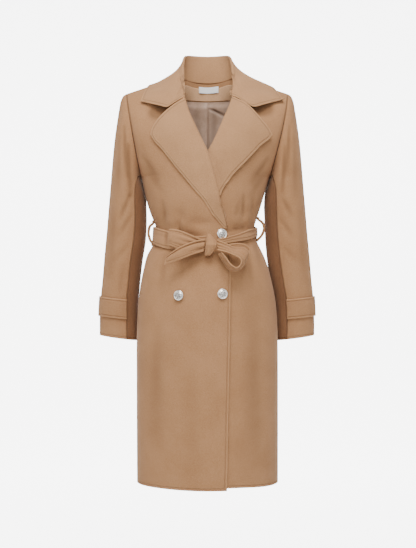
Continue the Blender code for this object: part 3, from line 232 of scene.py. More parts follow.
def wool(name, low, high):
    """Brushed wool: short matted fibres over a faint twill, with pressed, stitched edges."""
    n = Nodes(name)
    clumps = n.noise(800.0, 3.0, 0.6)
    fibres = n.noise(1900.0, 3.0, 0.7, stretch=(1.0, 1.0, 0.22))
    cloudy = n.noise(16.0, 2.0, 0.5)
    shade = n.maths("ADD", n.times(clumps, 0.45), n.times(fibres, 0.40))
    shade = n.maths("ADD", shade, n.times(cloudy, 0.15))
    tone = n.blend(n.spread(shade, 0.30, 0.70), low, high)
    edge = n.attribute("edge")
    groove = n.times(n.spread(edge, *GROOVE[:2]), n.spread(edge, *GROOVE[2:], 1.0, 0.0))
    # painted highlight: the cloth made lighter along its rounded finished edges
    wear_and_highlight = n.spread(edge, 0.0008, 0.0030, 1.0, 0.0)
    seam = n.spread(n.attribute("seam"), 0.0002, 0.0022, 1.0, 0.0)
    # fold: painted shade, the cloth darkened by how deep it is creased
    fold = n.spread(n.attribute("fold"), 0.0, 0.0035)
    dark = tuple(value * 0.50 for value in low)
    light = tuple(min(value * 1.12, 1.0) for value in high)
    tone = n.blend(n.times(wear_and_highlight, 0.45), tone, light)
    # painted shade in the pressed groove along the edges
    tone = n.blend(n.times(groove, 0.30), tone, dark)
    tone = n.blend(n.times(seam, 0.40), tone, dark)
    tone = n.blend(n.times(fold, 0.68), tone, dark)
    n.drive("Base Color", tone)
    n.fix({"Roughness": 0.92, "Sheen Weight": 0.12, "Sheen Roughness": 0.5,
           "Sheen Tint": (1.0, 0.86, 0.72, 1.0), "Specular IOR Level": 0.15})
    nap = n.maths("ADD", n.times(clumps, 0.6), n.times(fibres, 0.4))
    normal = n.bump(nap, 0.0006, strength=0.5)
    relief = n.maths("SUBTRACT", 1.0, n.maths("MAXIMUM", n.times(groove, 0.6), seam))
    n.drive("Normal", n.bump(relief, 0.0012, normal))
    return n.finish


def satin(name, low, high):
    """Lining: smooth, with a fine weave and a soft sheen."""
    n = Nodes(name)
    threads = n.noise(1500.0, 2.0, 0.5, stretch=(1.0, 1.0, 0.15))
    cloudy = n.noise(30.0, 3.0, 0.5)
    shade = n.maths("ADD", n.times(threads, 0.4), n.times(cloudy, 0.6))
    tone = n.blend(n.spread(shade, 0.35, 0.65), low, high)
    # painted shade: the lining darkened where it is creased
    dark = tuple(value * 0.55 for value in low)
    tone = n.blend(n.times(n.spread(n.attribute("fold"), 0.0, 0.003), 0.7), tone, dark)
    n.drive("Base Color", tone)
    n.drive("Roughness", n.spread(threads, 0.3, 0.7, 0.38, 0.50))
    n.fix({"Specular IOR Level": 0.4})
    n.drive("Normal", n.bump(threads, 0.0002, strength=0.5))
    return n.finish


def silver():
    """Polished metal with fine scratches, darkened in its hollows by painted shade."""
    n = Nodes("button_silver")
    wear_and_highlight = n.noise(160.0, 4.0, 0.6)
    scratches = n.noise(700.0, 2.0, 0.6, stretch=(1.0, 1.0, 0.1))
    tone = n.blend(n.spread(wear_and_highlight, 0.35, 0.7), (0.92, 0.88, 0.82), (1.0, 0.98, 0.94))
    # painted shade: the silver darkened toward brown in the hollows of its relief
    hollow_shade = n.spread(n.attribute("relief"), 0.0, 1.0, 1.0, 0.0)
    tone = n.blend(n.times(hollow_shade, 0.90), tone, (0.170, 0.135, 0.105))
    n.drive("Base Color", tone)
    n.fix({"Metallic": 0.9})
    n.drive("Roughness", n.spread(wear_and_highlight, 0.3, 0.7, 0.44, 0.30))
    n.drive("Normal", n.bump(scratches, 0.00004, strength=0.5))
    return n.finish


def label_cloth():
    """A plain white woven label with a faint rib."""
    n = Nodes("label_weave")
    threads = n.noise(2200.0, 2.0, 0.5, stretch=(0.2, 1.0, 1.0))
    edge = n.attribute("edge")
    sewn = n.times(n.spread(edge, 0.0008, 0.0012), n.spread(edge, 0.0014, 0.0018, 1.0, 0.0))
    tone = n.blend(n.spread(threads, 0.3, 0.7), (0.92, 0.92, 0.91), (0.98, 0.98, 0.97))
    n.drive("Base Color", n.blend(n.times(sewn, 0.5), tone, (0.45, 0.45, 0.45)))
    n.fix({"Roughness": 0.6})
    n.drive("Normal", n.bump(threads, 0.0002))
    return n.finish


# ------------------------ grids out of the solids

def welded(node):
    """The solid's points, each once, and its triangles."""
    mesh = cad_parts[node].data
    points = np.empty(len(mesh.vertices) * 3)
    mesh.vertices.foreach_get("co", points)
    points = points.reshape(-1, 3)
    mesh.calc_loop_triangles()
    triangles = np.empty(len(mesh.loop_triangles) * 3, dtype=int)
    mesh.loop_triangles.foreach_get("vertices", triangles)
    keys = np.round(points / 2e-6).astype(np.int64)
    _, first, inverse = np.unique(keys, axis=0, return_index=True, return_inverse=True)
    return points[first], inverse.reshape(-1)[triangles].reshape(-1, 3)


def neighbours(points, triangles):
    """For each triangle: how sharply each edge bends, the triangle beyond it, and the edge."""
    a, b, c = (points[triangles[:, k]] for k in range(3))
    normal = np.cross(b - a, c - a)
    size = np.linalg.norm(normal, axis=1)
    normal /= np.maximum(size[:, None], 1e-20)
    edges = {}
    for n, corners in enumerate(triangles):
        for k in range(3):
            edge = tuple(sorted((int(corners[k]), int(corners[(k + 1) % 3]))))
            edges.setdefault(edge, []).append(n)
    near = [[] for _ in triangles]
    for edge, users in edges.items():
        if len(users) == 2:
            p, q = users
            bend = 1 - float(normal[p] @ normal[q])
            near[p].append((bend, q, edge))
            near[q].append((bend, p, edge))
    return near, size


def laid_out(triangles, near, seed, turn, used, sharpest):
    """Whole-number places for the sheet's points, spreading over its flattest edges first."""
    t = [int(v) for v in np.roll(triangles[seed], turn)]
    place = {t[0]: (0, 0), t[1]: (1, 0), t[2]: (1, 1)}
    taken = {spot: v for v, spot in place.items()}
    done = {seed}
    queue = [(bend, m, edge, seed) for bend, m, edge in near[seed]]
    heapq.heapify(queue)
    while queue:
        bend, m, edge, n = heapq.heappop(queue)
        if m in done or m in used or bend > sharpest:
            continue
        behind = [int(v) for v in triangles[n] if v not in edge][0]
        ahead = [int(v) for v in triangles[m] if v not in edge][0]
        p, q = edge
        spot = tuple(place[p][k] + place[q][k] - place[behind][k] for k in range(2))
        if place.get(ahead, spot) != spot or taken.get(spot, ahead) != ahead:
            continue
        done.add(m)
        place[ahead] = spot
        taken[spot] = ahead
        for further in near[m]:
            if further[1] not in done:
                heapq.heappush(queue, further + (m,))
    return taken, done


def find_grid(points, triangles, near, seed, shape, used, sharpest):
    """The fullest block of the given shape among the places, with the solid's rim round it."""
    rim = {v for links in near for bend, _, edge in links if bend > 0.7 for v in edge}
    best = ((0, 0), None, None)
    for turn in range(3):
        taken, done = laid_out(triangles, near, seed, turn, used, sharpest)
        filled = np.array(list(taken))
        low = filled.min(0)
        size = filled.max(0) - low + 1
        full = np.zeros(size, dtype=int)
        full[tuple((filled - low).T)] = 1
        total = np.zeros(size + 1, dtype=int)
        total[1:, 1:] = full.cumsum(0).cumsum(1)
        for rows, columns in (shape, shape[::-1]):
            if rows > size[0] or columns > size[1]:
                continue
            count = (total[rows:, columns:] - total[:-rows, columns:]
                     - total[rows:, :-columns] + total[:-rows, :-columns])
            for i, j in np.argwhere(count == count.max()):
                corner = low + (i, j)
                round_it = sum(taken.get(tuple(corner + spot)) in rim for spot in boundary(rows, columns))
                if (count[i, j], round_it) > best[0]:
                    best = ((count[i, j], round_it), (taken, corner, rows, columns), done)
    if best[1] is None:
        return None, set()
    taken, corner, rows, columns = best[1]
    grid = np.full((rows, columns, 3), np.nan)
    sheet = set()
    for (i, j), v in taken.items():
        a, b = i - corner[0], j - corner[1]
        if 0 <= a < rows and 0 <= b < columns:
            grid[a, b] = points[v]
            sheet.add(v)
    done = {n for n in best[2] if all(int(v) in sheet for v in triangles[n])}
    return (grid if rows == shape[0] else grid.transpose(1, 0, 2)), done


def mended(grid):
    """Fills the few places that the solid has lost, from their neighbours."""
    for _ in range(12):
        for i, j in np.argwhere(np.isnan(grid[..., 0])):
            for a, b in ((-1, -1), (-1, 1), (1, -1), (1, 1)):
                inside = 0 <= i + a < grid.shape[0] and 0 <= j + b < grid.shape[1]
                if inside and np.isnan(grid[i, j, 0]):
                    grid[i, j] = grid[i + a, j] + grid[i, j + b] - grid[i + a, j + b]
    return grid


def read_grid(node, shape, rank, along, across, sharpest=0.7):
    """The visible sheet of a node. rank(grid) is higher for it than for the hidden one;
    along(grid) and across(grid) are positive where its two axes run the right way."""
    points, triangles = welded(node)
    near, size = neighbours(points, triangles)
    order = sorted(range(len(triangles)), key=lambda n: sum(link[0] for link in near[n]))
    fair = np.median(size) * 0.5
    used, found = set(), []
    for _ in range(2):
        seed = next((n for n in order if n not in used and size[n] > fair), None)
        if seed is None:
            break
        grid, done = find_grid(points, triangles, near, seed, shape, used, sharpest)
        used |= done | {seed}
        if grid is not None:
            found.append(mended(grid))
    best = max(found, key=rank)
    if along(best) < 0:
        best = best[::-1]
    if across(best) < 0:
        best = best[:, ::-1]
    return best


def reach(*centre):
    """Rank for read_grid: how far the points are from the axis at x, y, or the point x, y, z."""
    size = len(centre)
    return lambda grid: np.nanmean(np.linalg.norm(grid[..., :size] - np.array(centre), axis=-1))


def rising(axis, way):
    """Test for read_grid: whether the points go the given way along an axis of the grid."""
    return lambda grid: np.nansum((np.take(grid, -1, axis) - np.take(grid, 0, axis)) @ np.array(way))


# ------------------------ drawing a grid finer

def drawn_finer(grid, axis, step, tight):
    """A smooth curve through the grid's points along one axis, with a point every step. A tight
    one never swings past them."""
    grid = np.moveaxis(grid, axis, 0)
    gap = np.linalg.norm(np.diff(grid, axis=0), axis=-1).mean(axis=1)
    knots = np.concatenate([[0.0], np.cumsum(gap)])
    slope = np.diff(grid, axis=0) / gap[:, None, None]
    tangent = np.empty_like(grid)
    tangent[0] = slope[0]
    tangent[-1] = slope[-1]
    if len(grid) > 2:
        before, after = slope[:-1], slope[1:]
        share = (gap[:-1] / (gap[:-1] + gap[1:]))[:, None, None]
        if tight:
            product, total = before * after, before + after
            tangent[1:-1] = np.where(product > 0, 2 * product / np.where(total == 0, 1, total), 0)
        else:
            tangent[1:-1] = before * (1 - share) + after * share
    spots = [knots[0]]
    for k, length in enumerate(gap):
        count = max(1, int(math.ceil(length / step)))
        spots += [knots[k] + length * (m + 1) / count for m in range(count)]
    spots = np.array(spots)
    k = np.clip(np.searchsorted(knots, spots, side="right") - 1, 0, len(gap) - 1)
    t = ((spots - knots[k]) / gap[k])[:, None, None]
    span = gap[k][:, None, None]
    fine = (grid[k] * (1 + 2 * t) * (1 - t) ** 2 + tangent[k] * span * t * (1 - t) ** 2
            + grid[k + 1] * t * t * (3 - 2 * t) + tangent[k + 1] * span * t * t * (t - 1))
    return np.moveaxis(fine, 0, axis)


def finer(grid, step, tight=False):
    return drawn_finer(drawn_finer(grid, 0, step, tight), 1, step, tight)


def unit(vectors):
    return vectors / np.maximum(np.linalg.norm(vectors, axis=-1, keepdims=True), 1e-12)


def normals(grid, outward):
    """Unit normals on the side where outward(points, normal) is positive."""
    normal = unit(np.cross(np.gradient(grid, axis=0), np.gradient(grid, axis=1)))
    return -normal if np.mean(outward(grid, normal)) < 0 else normal


def away_from(*centre):
    """Test for normals: away from the upright axis at x, y, or from the point at x, y, z."""
    size = len(centre)
    return lambda points, normal: np.sum((points[..., :size] - centre) * normal[..., :size], axis=-1)


def ahead(points, normal):
    return -normal[..., 1]


# ------------------------ creases

def ease(value, start, end):
    t = np.clip((value - start) / (end - start), 0.0, 1.0)
    return t * t * (3 - 2 * t)


# Each crease is a line from one point to another, seen from the front or from the back. Columns,
# in millimetres: start x, z, end x, z, half width, depth (negative for a ridge).
# A crease's depth also darkens the cloth there, as painted shade.
CREASES = {
    "front": (
        # above the belt, in front
        (-65.5, -364, -68, -396, 5, 4), (-79, -345, -80, -386, 5, -1.4), (-108, -318, -99, -384, 6.5, 2.2),
        (-30, -352, -42, -392, 6, 1.4), (89, -300, 88, -378, 4.8, 2.4), (112, -308, 108, -374, 4.5, 1.8),
        (74, -330, 71, -384, 6, 1.4), (100, -318, 98, -376, 4.5, -1.2),
        # hollow behind the notches, whose depth also paints the shade under the collar
        (-92, -92, -126, -98, 14, 8.5), (106, -92, 146, -88, 14, 8),
        # full above the belt, then drawn in along its upper edge
        (-94, -366, -16, -378, 13, -3.6), (44, -370, 112, -360, 12, -3), (-70, -389, -12, -403, 6, 3.6),
        (44, -390, 100, -376, 5, 2.6),
        # under the belt
        (-100, -446, -112, -520, 9, 1.6), (-62, -446, -60, -500, 8, 1.2), (98, -420, 108, -505, 8, 1.8),
        (118, -415, 134, -480, 7, 1.4),
        # towards the armholes and the bust
        (-158, -205, -118, -262, 7.5, 2.2), (-150, -238, -105, -300, 8.5, 1.6),
        (150, -210, 112, -268, 7.5, 2.2), (146, -244, 104, -306, 8, 1.6),
        # skirt, nearly smooth
        (-120, -620, -126, -900, 20, 1.6), (110, -600, 120, -940, 22, 1.6), (-40, -700, -36, -1000, 24, 1),
    ),
    "back": (
        # drawn in along the belt's upper edge
        (-110, -366, -10, -364, 5, 2), (20, -364, 110, -366, 5, 2),
        # gathers above and below the belt, drags from the armholes, and the skirt
        (-78, -318, -74, -368, 6, 2.2), (-30, -330, -28, -368, 6.5, 1.8), (32, -322, 30, -368, 6, 2),
        (82, -316, 79, -368, 6, 2.2), (-54, -422, -56, -486, 8, 1.6), (58, -422, 60, -492, 8, 1.8),
        (4, -422, 3, -474, 8.5, 1.4), (-150, -210, -96, -240, 9, 2), (150, -212, 98, -246, 9, 2),
        (-146, -256, -100, -292, 9, 1.4), (142, -258, 100, -296, 9, 1.4), (-60, -600, -66, -940, 23, 1.6),
        (80, -620, 86, -960, 23, 1.6),
    ),
}

SLEEVE_CREASES = {
    "front": (
        # wearer's right sleeve
        (-204, -130, -197, -250, 7, 3), (-191, -175, -188, -300, 6, 2.8),
        (-216, -150, -220, -290, 7.5, 1.6), (-190, -300, -214, -352, 7, 2.4),
        (-186, -348, -216, -392, 7.5, 2), (-196, -420, -224, -452, 8, 1.6),
        (-232, -330, -240, -500, 10, 1.4), (-206, -470, -218, -540, 8, 1.4),
        # wearer's left sleeve
        (203, -128, 196, -246, 7, 2.8), (189, -180, 185, -292, 6, 2.6), (216, -160, 219, -300, 8, 1.6),
        (184, -306, 210, -346, 7, 2.2), (182, -360, 214, -398, 7.5, 2), (192, -428, 222, -456, 8, 1.6),
        (232, -340, 242, -510, 10, 1.4),
    ),
    "back": (
        # wearer's right sleeve
        (-184, -150, -206, -230, 8, 2.4), (-190, -290, -230, -330, 8.5, 2),
        (-192, -350, -236, -386, 8.5, 1.8), (-200, -430, -238, -462, 9, 1.4),
        # wearer's left sleeve
        (182, -152, 204, -226, 8, 2.4), (188, -300, 228, -338, 8.5, 2), (190, -364, 234, -396, 8.5, 1.8),
        (198, -440, 236, -470, 9, 1.4),
    ),
}

LAPEL_CREASES = {"front": ((-60, -110, -20, -190, 16, -1), (70, -105, 30, -180, 16, -1))}

VIEWS = {"front": -1, "back": 1}         # the way along y that each side looks


def crease_depth(points, normal, table):
    """How far each point is pressed in. A crease fades at both ends and widens toward its second."""
    total = np.zeros(points.shape[:-1])
    for view, rows in table.items():
        toward = ease(normal[..., 1] * VIEWS[view], 0.05, 0.45)
        for x, z, to_x, to_z, width, depth in np.array(rows) / 1000:
            run = np.array((to_x - x, to_z - z))
            seen = points[..., [0, 2]] - (x, z)
            along = np.clip(seen @ run / (run @ run), 0.0, 1.0)
            off = np.linalg.norm(seen - along[..., None] * run, axis=-1)
            swell = 0.35 + 0.65 * np.sin(math.pi * (0.12 + 0.76 * along)) ** 1.2
            total += depth * swell * toward * np.exp(-(off / (width * (0.8 + 0.5 * along))) ** 2)
    return total


# ------------------------ closing a wall

def boundary(rows, columns):
    """Row and column of each point round the outside of the grid, once."""
    ring = [(i, 0) for i in range(rows)]
    ring += [(rows - 1, j) for j in range(1, columns)]
    ring += [(i, columns - 1) for i in range(rows - 2, -1, -1)]
    ring += [(0, j) for j in range(columns - 2, 0, -1)]
    return np.array(ring)


def edge_ways(grid):
    """At each grid point, the direction out of the sheet at its boundary, else zero."""
    way = np.zeros_like(grid)
    for index, inner, axis in ((0, 1, 0), (-1, -2, 0), (0, 1, 1), (-1, -2, 1)):
        out = unit(np.take(grid, index, axis) - np.take(grid, inner, axis))
        np.moveaxis(way, axis, 0)[index] += out
    return unit(way)


def edge_distance(grid, sides):
    """Distance from the named sides ("a0", "a1" along the first axis, "b0", "b1" the second)."""
    far = np.full(grid.shape[:2], 1.0)
    for axis, letter in ((0, "a"), (1, "b")):
        gap = np.linalg.norm(np.diff(grid, axis=axis), axis=-1)
        run = np.concatenate([np.zeros_like(np.take(gap, [0], axis)), np.cumsum(gap, axis=axis)], axis=axis)
        if letter + "0" in sides:
            far = np.minimum(far, run)
        if letter + "1" in sides:
            far = np.minimum(far, np.take(run, [-1], axis) - run)
    return far


ROUND_STEPS = 5          # faces round a wall's edge
INSET = 0.75             # how far the edge is drawn in, of half the thickness


def build_mesh(name, points, faces, values):
    """A mesh with a number for each point under each of the given names."""
    mesh = bpy.data.meshes.new(name)
    mesh.from_pydata(points.tolist(), [], faces.tolist())
    for key, numbers in values.items():
        attribute = mesh.attributes.new(key, "FLOAT", "POINT")
        attribute.data.foreach_set("value", numbers.astype(np.float32))
    return mesh


def as_piece(mesh, nodes):
    """The mesh as a piece of the coat that stands for the given nodes."""
    mesh.shade_smooth()
    piece = placed("coat_" + nodes[0], mesh)
    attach(piece, "root")
    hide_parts(*nodes)
    return piece


def wall(nodes, grid, normal, thickness, finishes, sides, seams, pressed, faced=None):
    """A closed wall of cloth behind a grid, with a rounded edge. finishes: outside, inside.
    sides are the finished edges and seams the sewn ones; pressed is how deep each point lies;
    faced(grid) is true where the inside shows the outer cloth again."""
    rows, columns = grid.shape[:2]
    way = edge_ways(grid) * thickness / 2 * INSET
    outer = grid - way
    inner = outer - normal * thickness
    count = rows * columns
    index = np.arange(count).reshape(rows, columns)
    a, b = index[:-1, :-1], index[1:, :-1]
    c, d = index[1:, 1:], index[:-1, 1:]
    front = np.stack([a, b, c, d], axis=-1).reshape(-1, 4)
    back = front[:, ::-1] + count
    ring = tuple(boundary(rows, columns).T)
    first = index[ring]
    middle = (outer + inner)[ring] / 2
    half = (outer - inner)[ring] / 2
    out = way[ring]
    layers = [first]
    extra = []
    start = 2 * count
    for k in range(1, ROUND_STEPS):
        turn = math.pi * k / ROUND_STEPS
        extra.append(middle + half * math.cos(turn) + out * math.sin(turn))
        layers.append(np.arange(len(first)) + start)
        start += len(first)
    layers.append(first + count)
    rim = []
    for low, high in zip(layers[:-1], layers[1:]):
        rim.append(np.stack([low, np.roll(low, -1), np.roll(high, -1), high], axis=-1)[:, ::-1])
    points = np.concatenate([outer.reshape(-1, 3), inner.reshape(-1, 3)] + extra)
    faces = np.concatenate([front, back] + rim)
    kinds = np.zeros(len(faces), dtype=int)
    kinds[len(front):2 * len(front)] = 1 if faced is None else ~faced(grid)[:-1, :-1].ravel()
    tried = front[len(front) // 2]
    corner = points[tried]
    turned = np.cross(corner[1] - corner[0], corner[2] - corner[0])
    if turned @ normal.reshape(-1, 3)[tried[0]] < 0:
        faces = faces[:, ::-1]
    values = {}
    for key, at in (("edge", sides), ("seam", seams)):
        near = edge_distance(grid, at)
        values[key] = np.concatenate([near.ravel(), near.ravel()] + [near[ring]] * (ROUND_STEPS - 1))
    # how deep each point is pressed, which darkens the outside as painted shade
    values["fold"] = np.zeros(len(points))
    values["fold"][:count] = pressed.ravel()
    mesh = build_mesh("coat_" + nodes[0], points, faces, values)
    for finish in finishes:
        mesh.materials.append(finish)
    mesh.polygons.foreach_set("material_index", np.minimum(kinds, len(finishes) - 1))
    mesh.update()
    return as_piece(mesh, nodes)


def solid(node, rows, finish, relief=None):
    """A closed body through rings of points, the first and last drawn together to one point."""
    count, around = rows.shape[:2]
    index = np.arange(count * around).reshape(count, around)
    onward = np.roll(index, -1, axis=1)
    faces = np.stack([index[:-1], index[1:], onward[1:], onward[:-1]], axis=-1).reshape(-1, 4)
    points = rows.reshape(-1, 3)
    middle = points.mean(axis=0)
    corners = points[faces]
    turned = np.cross(corners[:, 1] - corners[:, 0], corners[:, 2] - corners[:, 0])
    if np.sum(turned * (corners.mean(axis=1) - middle)) < 0:
        faces = faces[:, ::-1]
    ones = np.ones(len(points))
    values = {"edge": ones, "seam": ones} if relief is None else {"relief": relief.ravel()}
    mesh = build_mesh("coat_" + node, points, faces, values)
    work = bmesh.new()
    work.from_mesh(mesh)
    bmesh.ops.remove_doubles(work, verts=work.verts, dist=0.00002)
    bmesh.ops.recalc_face_normals(work, faces=work.faces)
    work.to_mesh(mesh)
    work.free()
    mesh.materials.append(finish)
    return as_piece(mesh, (node,))


def cloth(nodes, grid, outward, thickness, finishes, step, creases, sides=(), seams=(),
          tight=False, move=None, faced=None):
    """Draws a grid finer with a point every step, creases it, closes it and says what cloth it is."""
    fine = finer(grid, step, tight)
    if move is not None:
        fine = move(fine)
    normal = normals(fine, outward)
    pressed = crease_depth(fine, normal, creases)
    fine = fine - normal * pressed[..., None]
    normal = normals(fine, outward)
    # pressed also darkens the cloth in its creases: painted shade
    pressed = np.maximum(pressed, 0.0)
    piece = wall(nodes, fine, normal, thickness, finishes, sides, seams, pressed, faced)
    return piece


# ------------------------ the coat

WOOL = 0.0026            # one panel
DOUBLED = 0.0030         # two layers, turned and pressed
THIN = 0.0010            # lining and facing
LABEL = 0.0006
BODY_STEP = 0.0055       # between the drawn points of the body's panels

UP = rising(1, (0, 0, 1))
DOWN = rising(1, (0, 0, -1))
TO_LEFT = rising(0, (1, 0, 0))
farther = reach(0.0, 0.0)


def nearer(grid):
    return -farther(grid)


def neck_faced(grid):
    """Where the back's inside shows outer cloth: at the neck."""
    return grid[..., 2] > -0.075


def front_faced(grid):
    """The same for a front: along its edge and at the neck."""
    return (edge_distance(grid, ("a1",)) < 0.075) | (grid[..., 2] > -0.03)


EDGE_LIFT = 0.0028


def edge_lifted(grid):
    """The overlapping front, its edge springing off the other front below the belt."""
    near = 1 - ease(edge_distance(grid, ("a1",)), 0.0, 0.035)
    moved = grid.copy()
    moved[..., 1] -= EDGE_LIFT * near * (1 - ease(grid[..., 2], -0.52, -0.45))
    return moved


def build_body(camel, inside):
    for node, way, move in (("front_right", (1, 0, 0), edge_lifted), ("front_left", (-1, 0, 0), None)):
        grid = read_grid(node, (15, 33), farther, rising(0, way), UP)
        cloth((node,), grid, away_from(0.0, 0.0), WOOL, (camel, inside), BODY_STEP, CREASES, ("a1", "b0"),
              ("a0", "b1"), faced=front_faced, move=move)
    grid = read_grid("back", (21, 33), farther, TO_LEFT, UP)
    cloth(("back",), grid, away_from(0.0, 0.0), WOOL, (camel, inside), BODY_STEP, CREASES, ("b0",),
          ("a0", "a1"), faced=neck_faced)


LINING_CREASES = {
    "front": (
        (3, -58, 3, -210, 2.2, 3), (-2, -58, -2, -210, 2, -1.6), (6, -70, 46, -90, 3.6, 3),
        # the first row is a broad trough darkening the lining on the wearer's left as painted shade
        (18, -76, 13, -190, 11, 2.6), (-30, -80, -14, -170, 8, 1.8),
    ),
}


LINING_LIFT = 0.0045


def hanging(grid):
    """The lining, standing off the back where it isn't sewn to it."""
    across = np.linspace(0, 1, grid.shape[0])[:, None]
    down = np.linspace(1, 0, grid.shape[1])[None, :]
    free = ease(across, 0.0, 0.15) * (1 - ease(across, 0.85, 1.0)) * ease(down, 0.0, 0.10)
    moved = grid.copy()
    moved[..., 1] -= LINING_LIFT * free
    return moved


def build_inside(facing, inside, label):
    """What shows inside the neck."""
    grid = read_grid("back_lining", (13, 9), nearer, TO_LEFT, UP)
    cloth(("back_lining",), grid, ahead, THIN, (inside,), 0.0020, LINING_CREASES, (), ("b1",),
          move=hanging)
    grid = read_grid("neck_facing", (7, 3), nearer, TO_LEFT, UP)
    cloth(("neck_facing",), grid, ahead, THIN, (facing,), 0.004, {}, (), ("b0", "b1"))
    grid = read_grid("label", (3, 3), nearer, TO_LEFT, UP)
    cloth(("label",), grid, ahead, LABEL, (label,), 0.0015, {}, ("a0", "a1", "b0", "b1"), ())


SLEEVE_AXIS = (0.205, 0.02)      # x, on the wearer's left, and y of a sleeve's middle
SLEEVE_STEP = 0.005
UNDER_FULL = 0.0085      # how much fuller the under sleeve hangs round this level
UNDER_FULL_Z = -0.275
UNDER_FULL_HALF = 0.065
UNDER_CLEAR = 0.0030     # what it keeps off the coat's sides


def room_beside(grid, side):
    """How far each point of an under sleeve can move toward the coat's sides."""
    points, triangles = [], []
    for node in ("back", "front_right", "front_left"):
        corners, faces = welded(node)
        triangles += [[int(corner) + len(points) for corner in face] for face in faces]
        points += [Vector(point) for point in corners]
    sides = BVHTree.FromPolygons(points, triangles)
    room = np.full(grid.shape[:2], UNDER_FULL)
    for place in np.ndindex(room.shape):
        hit = sides.ray_cast(Vector(grid[place]), Vector((-side, 0, 0)), UNDER_FULL + UNDER_CLEAR)
        if hit[3] is not None:
            room[place] = max(0.0, hit[3] - UNDER_CLEAR)
    return room


def build_sleeves(camel, under, inside):
    for side, name in ((-1, "right"), (1, "left")):
        axis = (side * SLEEVE_AXIS[0], SLEEVE_AXIS[1])

        def fuller(grid, side=side):
            """The under sleeve, hanging against the waist."""
            middle = np.sin(math.pi * np.linspace(0, 1, grid.shape[0]))[:, None]
            level = np.exp(-((grid[..., 2] - UNDER_FULL_Z) / UNDER_FULL_HALF) ** 2)
            moved = grid.copy()
            moved[..., 0] -= side * np.minimum(UNDER_FULL * middle * level, room_beside(grid, side))
            return moved

        def read(node, shape):
            return read_grid(node, shape, reach(*axis), rising(0, (0, 1, 0)), DOWN)

        nodes = ["sleeve_%s_%s" % (part, name) for part in ("head", "elbow", "cuff")]
        lengths = [read(node, (13, 6)) for node in nodes]
        grid = np.concatenate([lengths[0]] + [length[:, 1:] for length in lengths[1:]], axis=1)
        upper = cloth(nodes, grid, away_from(*axis), WOOL, (camel, inside), SLEEVE_STEP, SLEEVE_CREASES,
                      ("b1",), ("a0", "a1", "b0"))
        node = "sleeve_under_" + name
        # the under sleeve in the darker wool: painted shade
        cloth((node,), read(node, (7, 16)), away_from(*axis), WOOL, (under, inside), SLEEVE_STEP,
              SLEEVE_CREASES, ("b1",), ("a0", "a1", "b0"), move=fuller)
        node = "sleeve_strap_" + name
        cloth((node,), read(node, (13, 3)), away_from(*axis), DOUBLED, (camel,), 0.003, {}, ("b0", "b1"),
              ("a0", "a1"))


# The roll of the lapels and of the collar above them, from the break up: z and distance from the
# centre, on the wearer's right and left.
ROLL_LINE = ((-0.383, -0.0425, 0.0325), (-0.264, -0.0238, 0.0240), (-0.195, -0.0038, 0.0041),
             (-0.136, 0.0236, 0.0320), (-0.100, 0.0394, 0.0460), (-0.059, 0.0516, 0.0602),
             (-0.020, 0.0570, 0.0620), (0.070, 0.0500, 0.0560))
SPRING = 0.0110          # how far lapels and collar stand off the chest beside the notch
LAPEL_STEP = 0.0035


def sprung(grid):
    """Lifts lapels and collar forward off the chest, alike where they are sewn together."""
    x, z = grid[..., 0], grid[..., 2]
    table = np.array(ROLL_LINE)
    right = np.interp(z, table[:, 0], table[:, 1])
    left = np.interp(z, table[:, 0], table[:, 2])
    beyond = np.where(x < 0, -x - right, x - left)
    on_front = ease(-grid[..., 1], 0.02, 0.05)
    rise = SPRING * ease(beyond, 0.004, 0.055) * (1 - 0.45 * ease(beyond, 0.065, 0.115))
    rise = rise * ease(z, -0.36, -0.13) * (1 - ease(z, -0.055, -0.022)) * on_front
    moved = grid.copy()
    moved[..., 1] -= rise
    return moved


def forward(grid):
    """Rank of a lapel's sheets, by its half away from the roll."""
    return -np.nanmean(grid[:, 6:, 1])


def build_lapels(pale):
    for name, side in (("right", -1), ("left", 1)):
        node = "lapel_" + name
        grid = read_grid(node, (15, 12), forward, rising(0, (0, 0, 1)), rising(1, (side, 0, 0)))
        cloth((node,), grid, ahead, DOUBLED, (pale,), LAPEL_STEP, LAPEL_CREASES, ("a0", "a1", "b1"), (),
              tight=True, move=sprung)


def build_collar(pale):
    """The stand and the fall in one sheet, which turns over at its upper edge."""
    middle = (0.0, 0.0, -0.02)

    def outside(grid):
        return reach(*middle)(grid[:, 8:])

    def falling(grid):
        return np.nanmean(np.abs(grid[:, -1, 0])) - np.nanmean(np.abs(grid[:, 0, 0]))

    def outward(points, normal):
        fall = int(points.shape[1] * 0.62)
        return away_from(*middle)(points[:, fall:], normal[:, fall:])

    grid = read_grid("collar", (27, 13), outside, TO_LEFT, falling, sharpest=1.3)
    cloth(("collar",), grid, outward, DOUBLED, (pale,), LAPEL_STEP, {}, ("a0", "a1", "b1"), ("b0",),
          tight=True, move=sprung)


# ------------------------ belt and bow

CARRIER_HALF = 0.0035    # half the thickness of a carrier's roll
CARRIER_DEEP = 0.0020    # from its solid's face to the roll's middle
CARRIER_SIDES = 20
CARRIER_TWIST = 0.12     # from one ring to the next


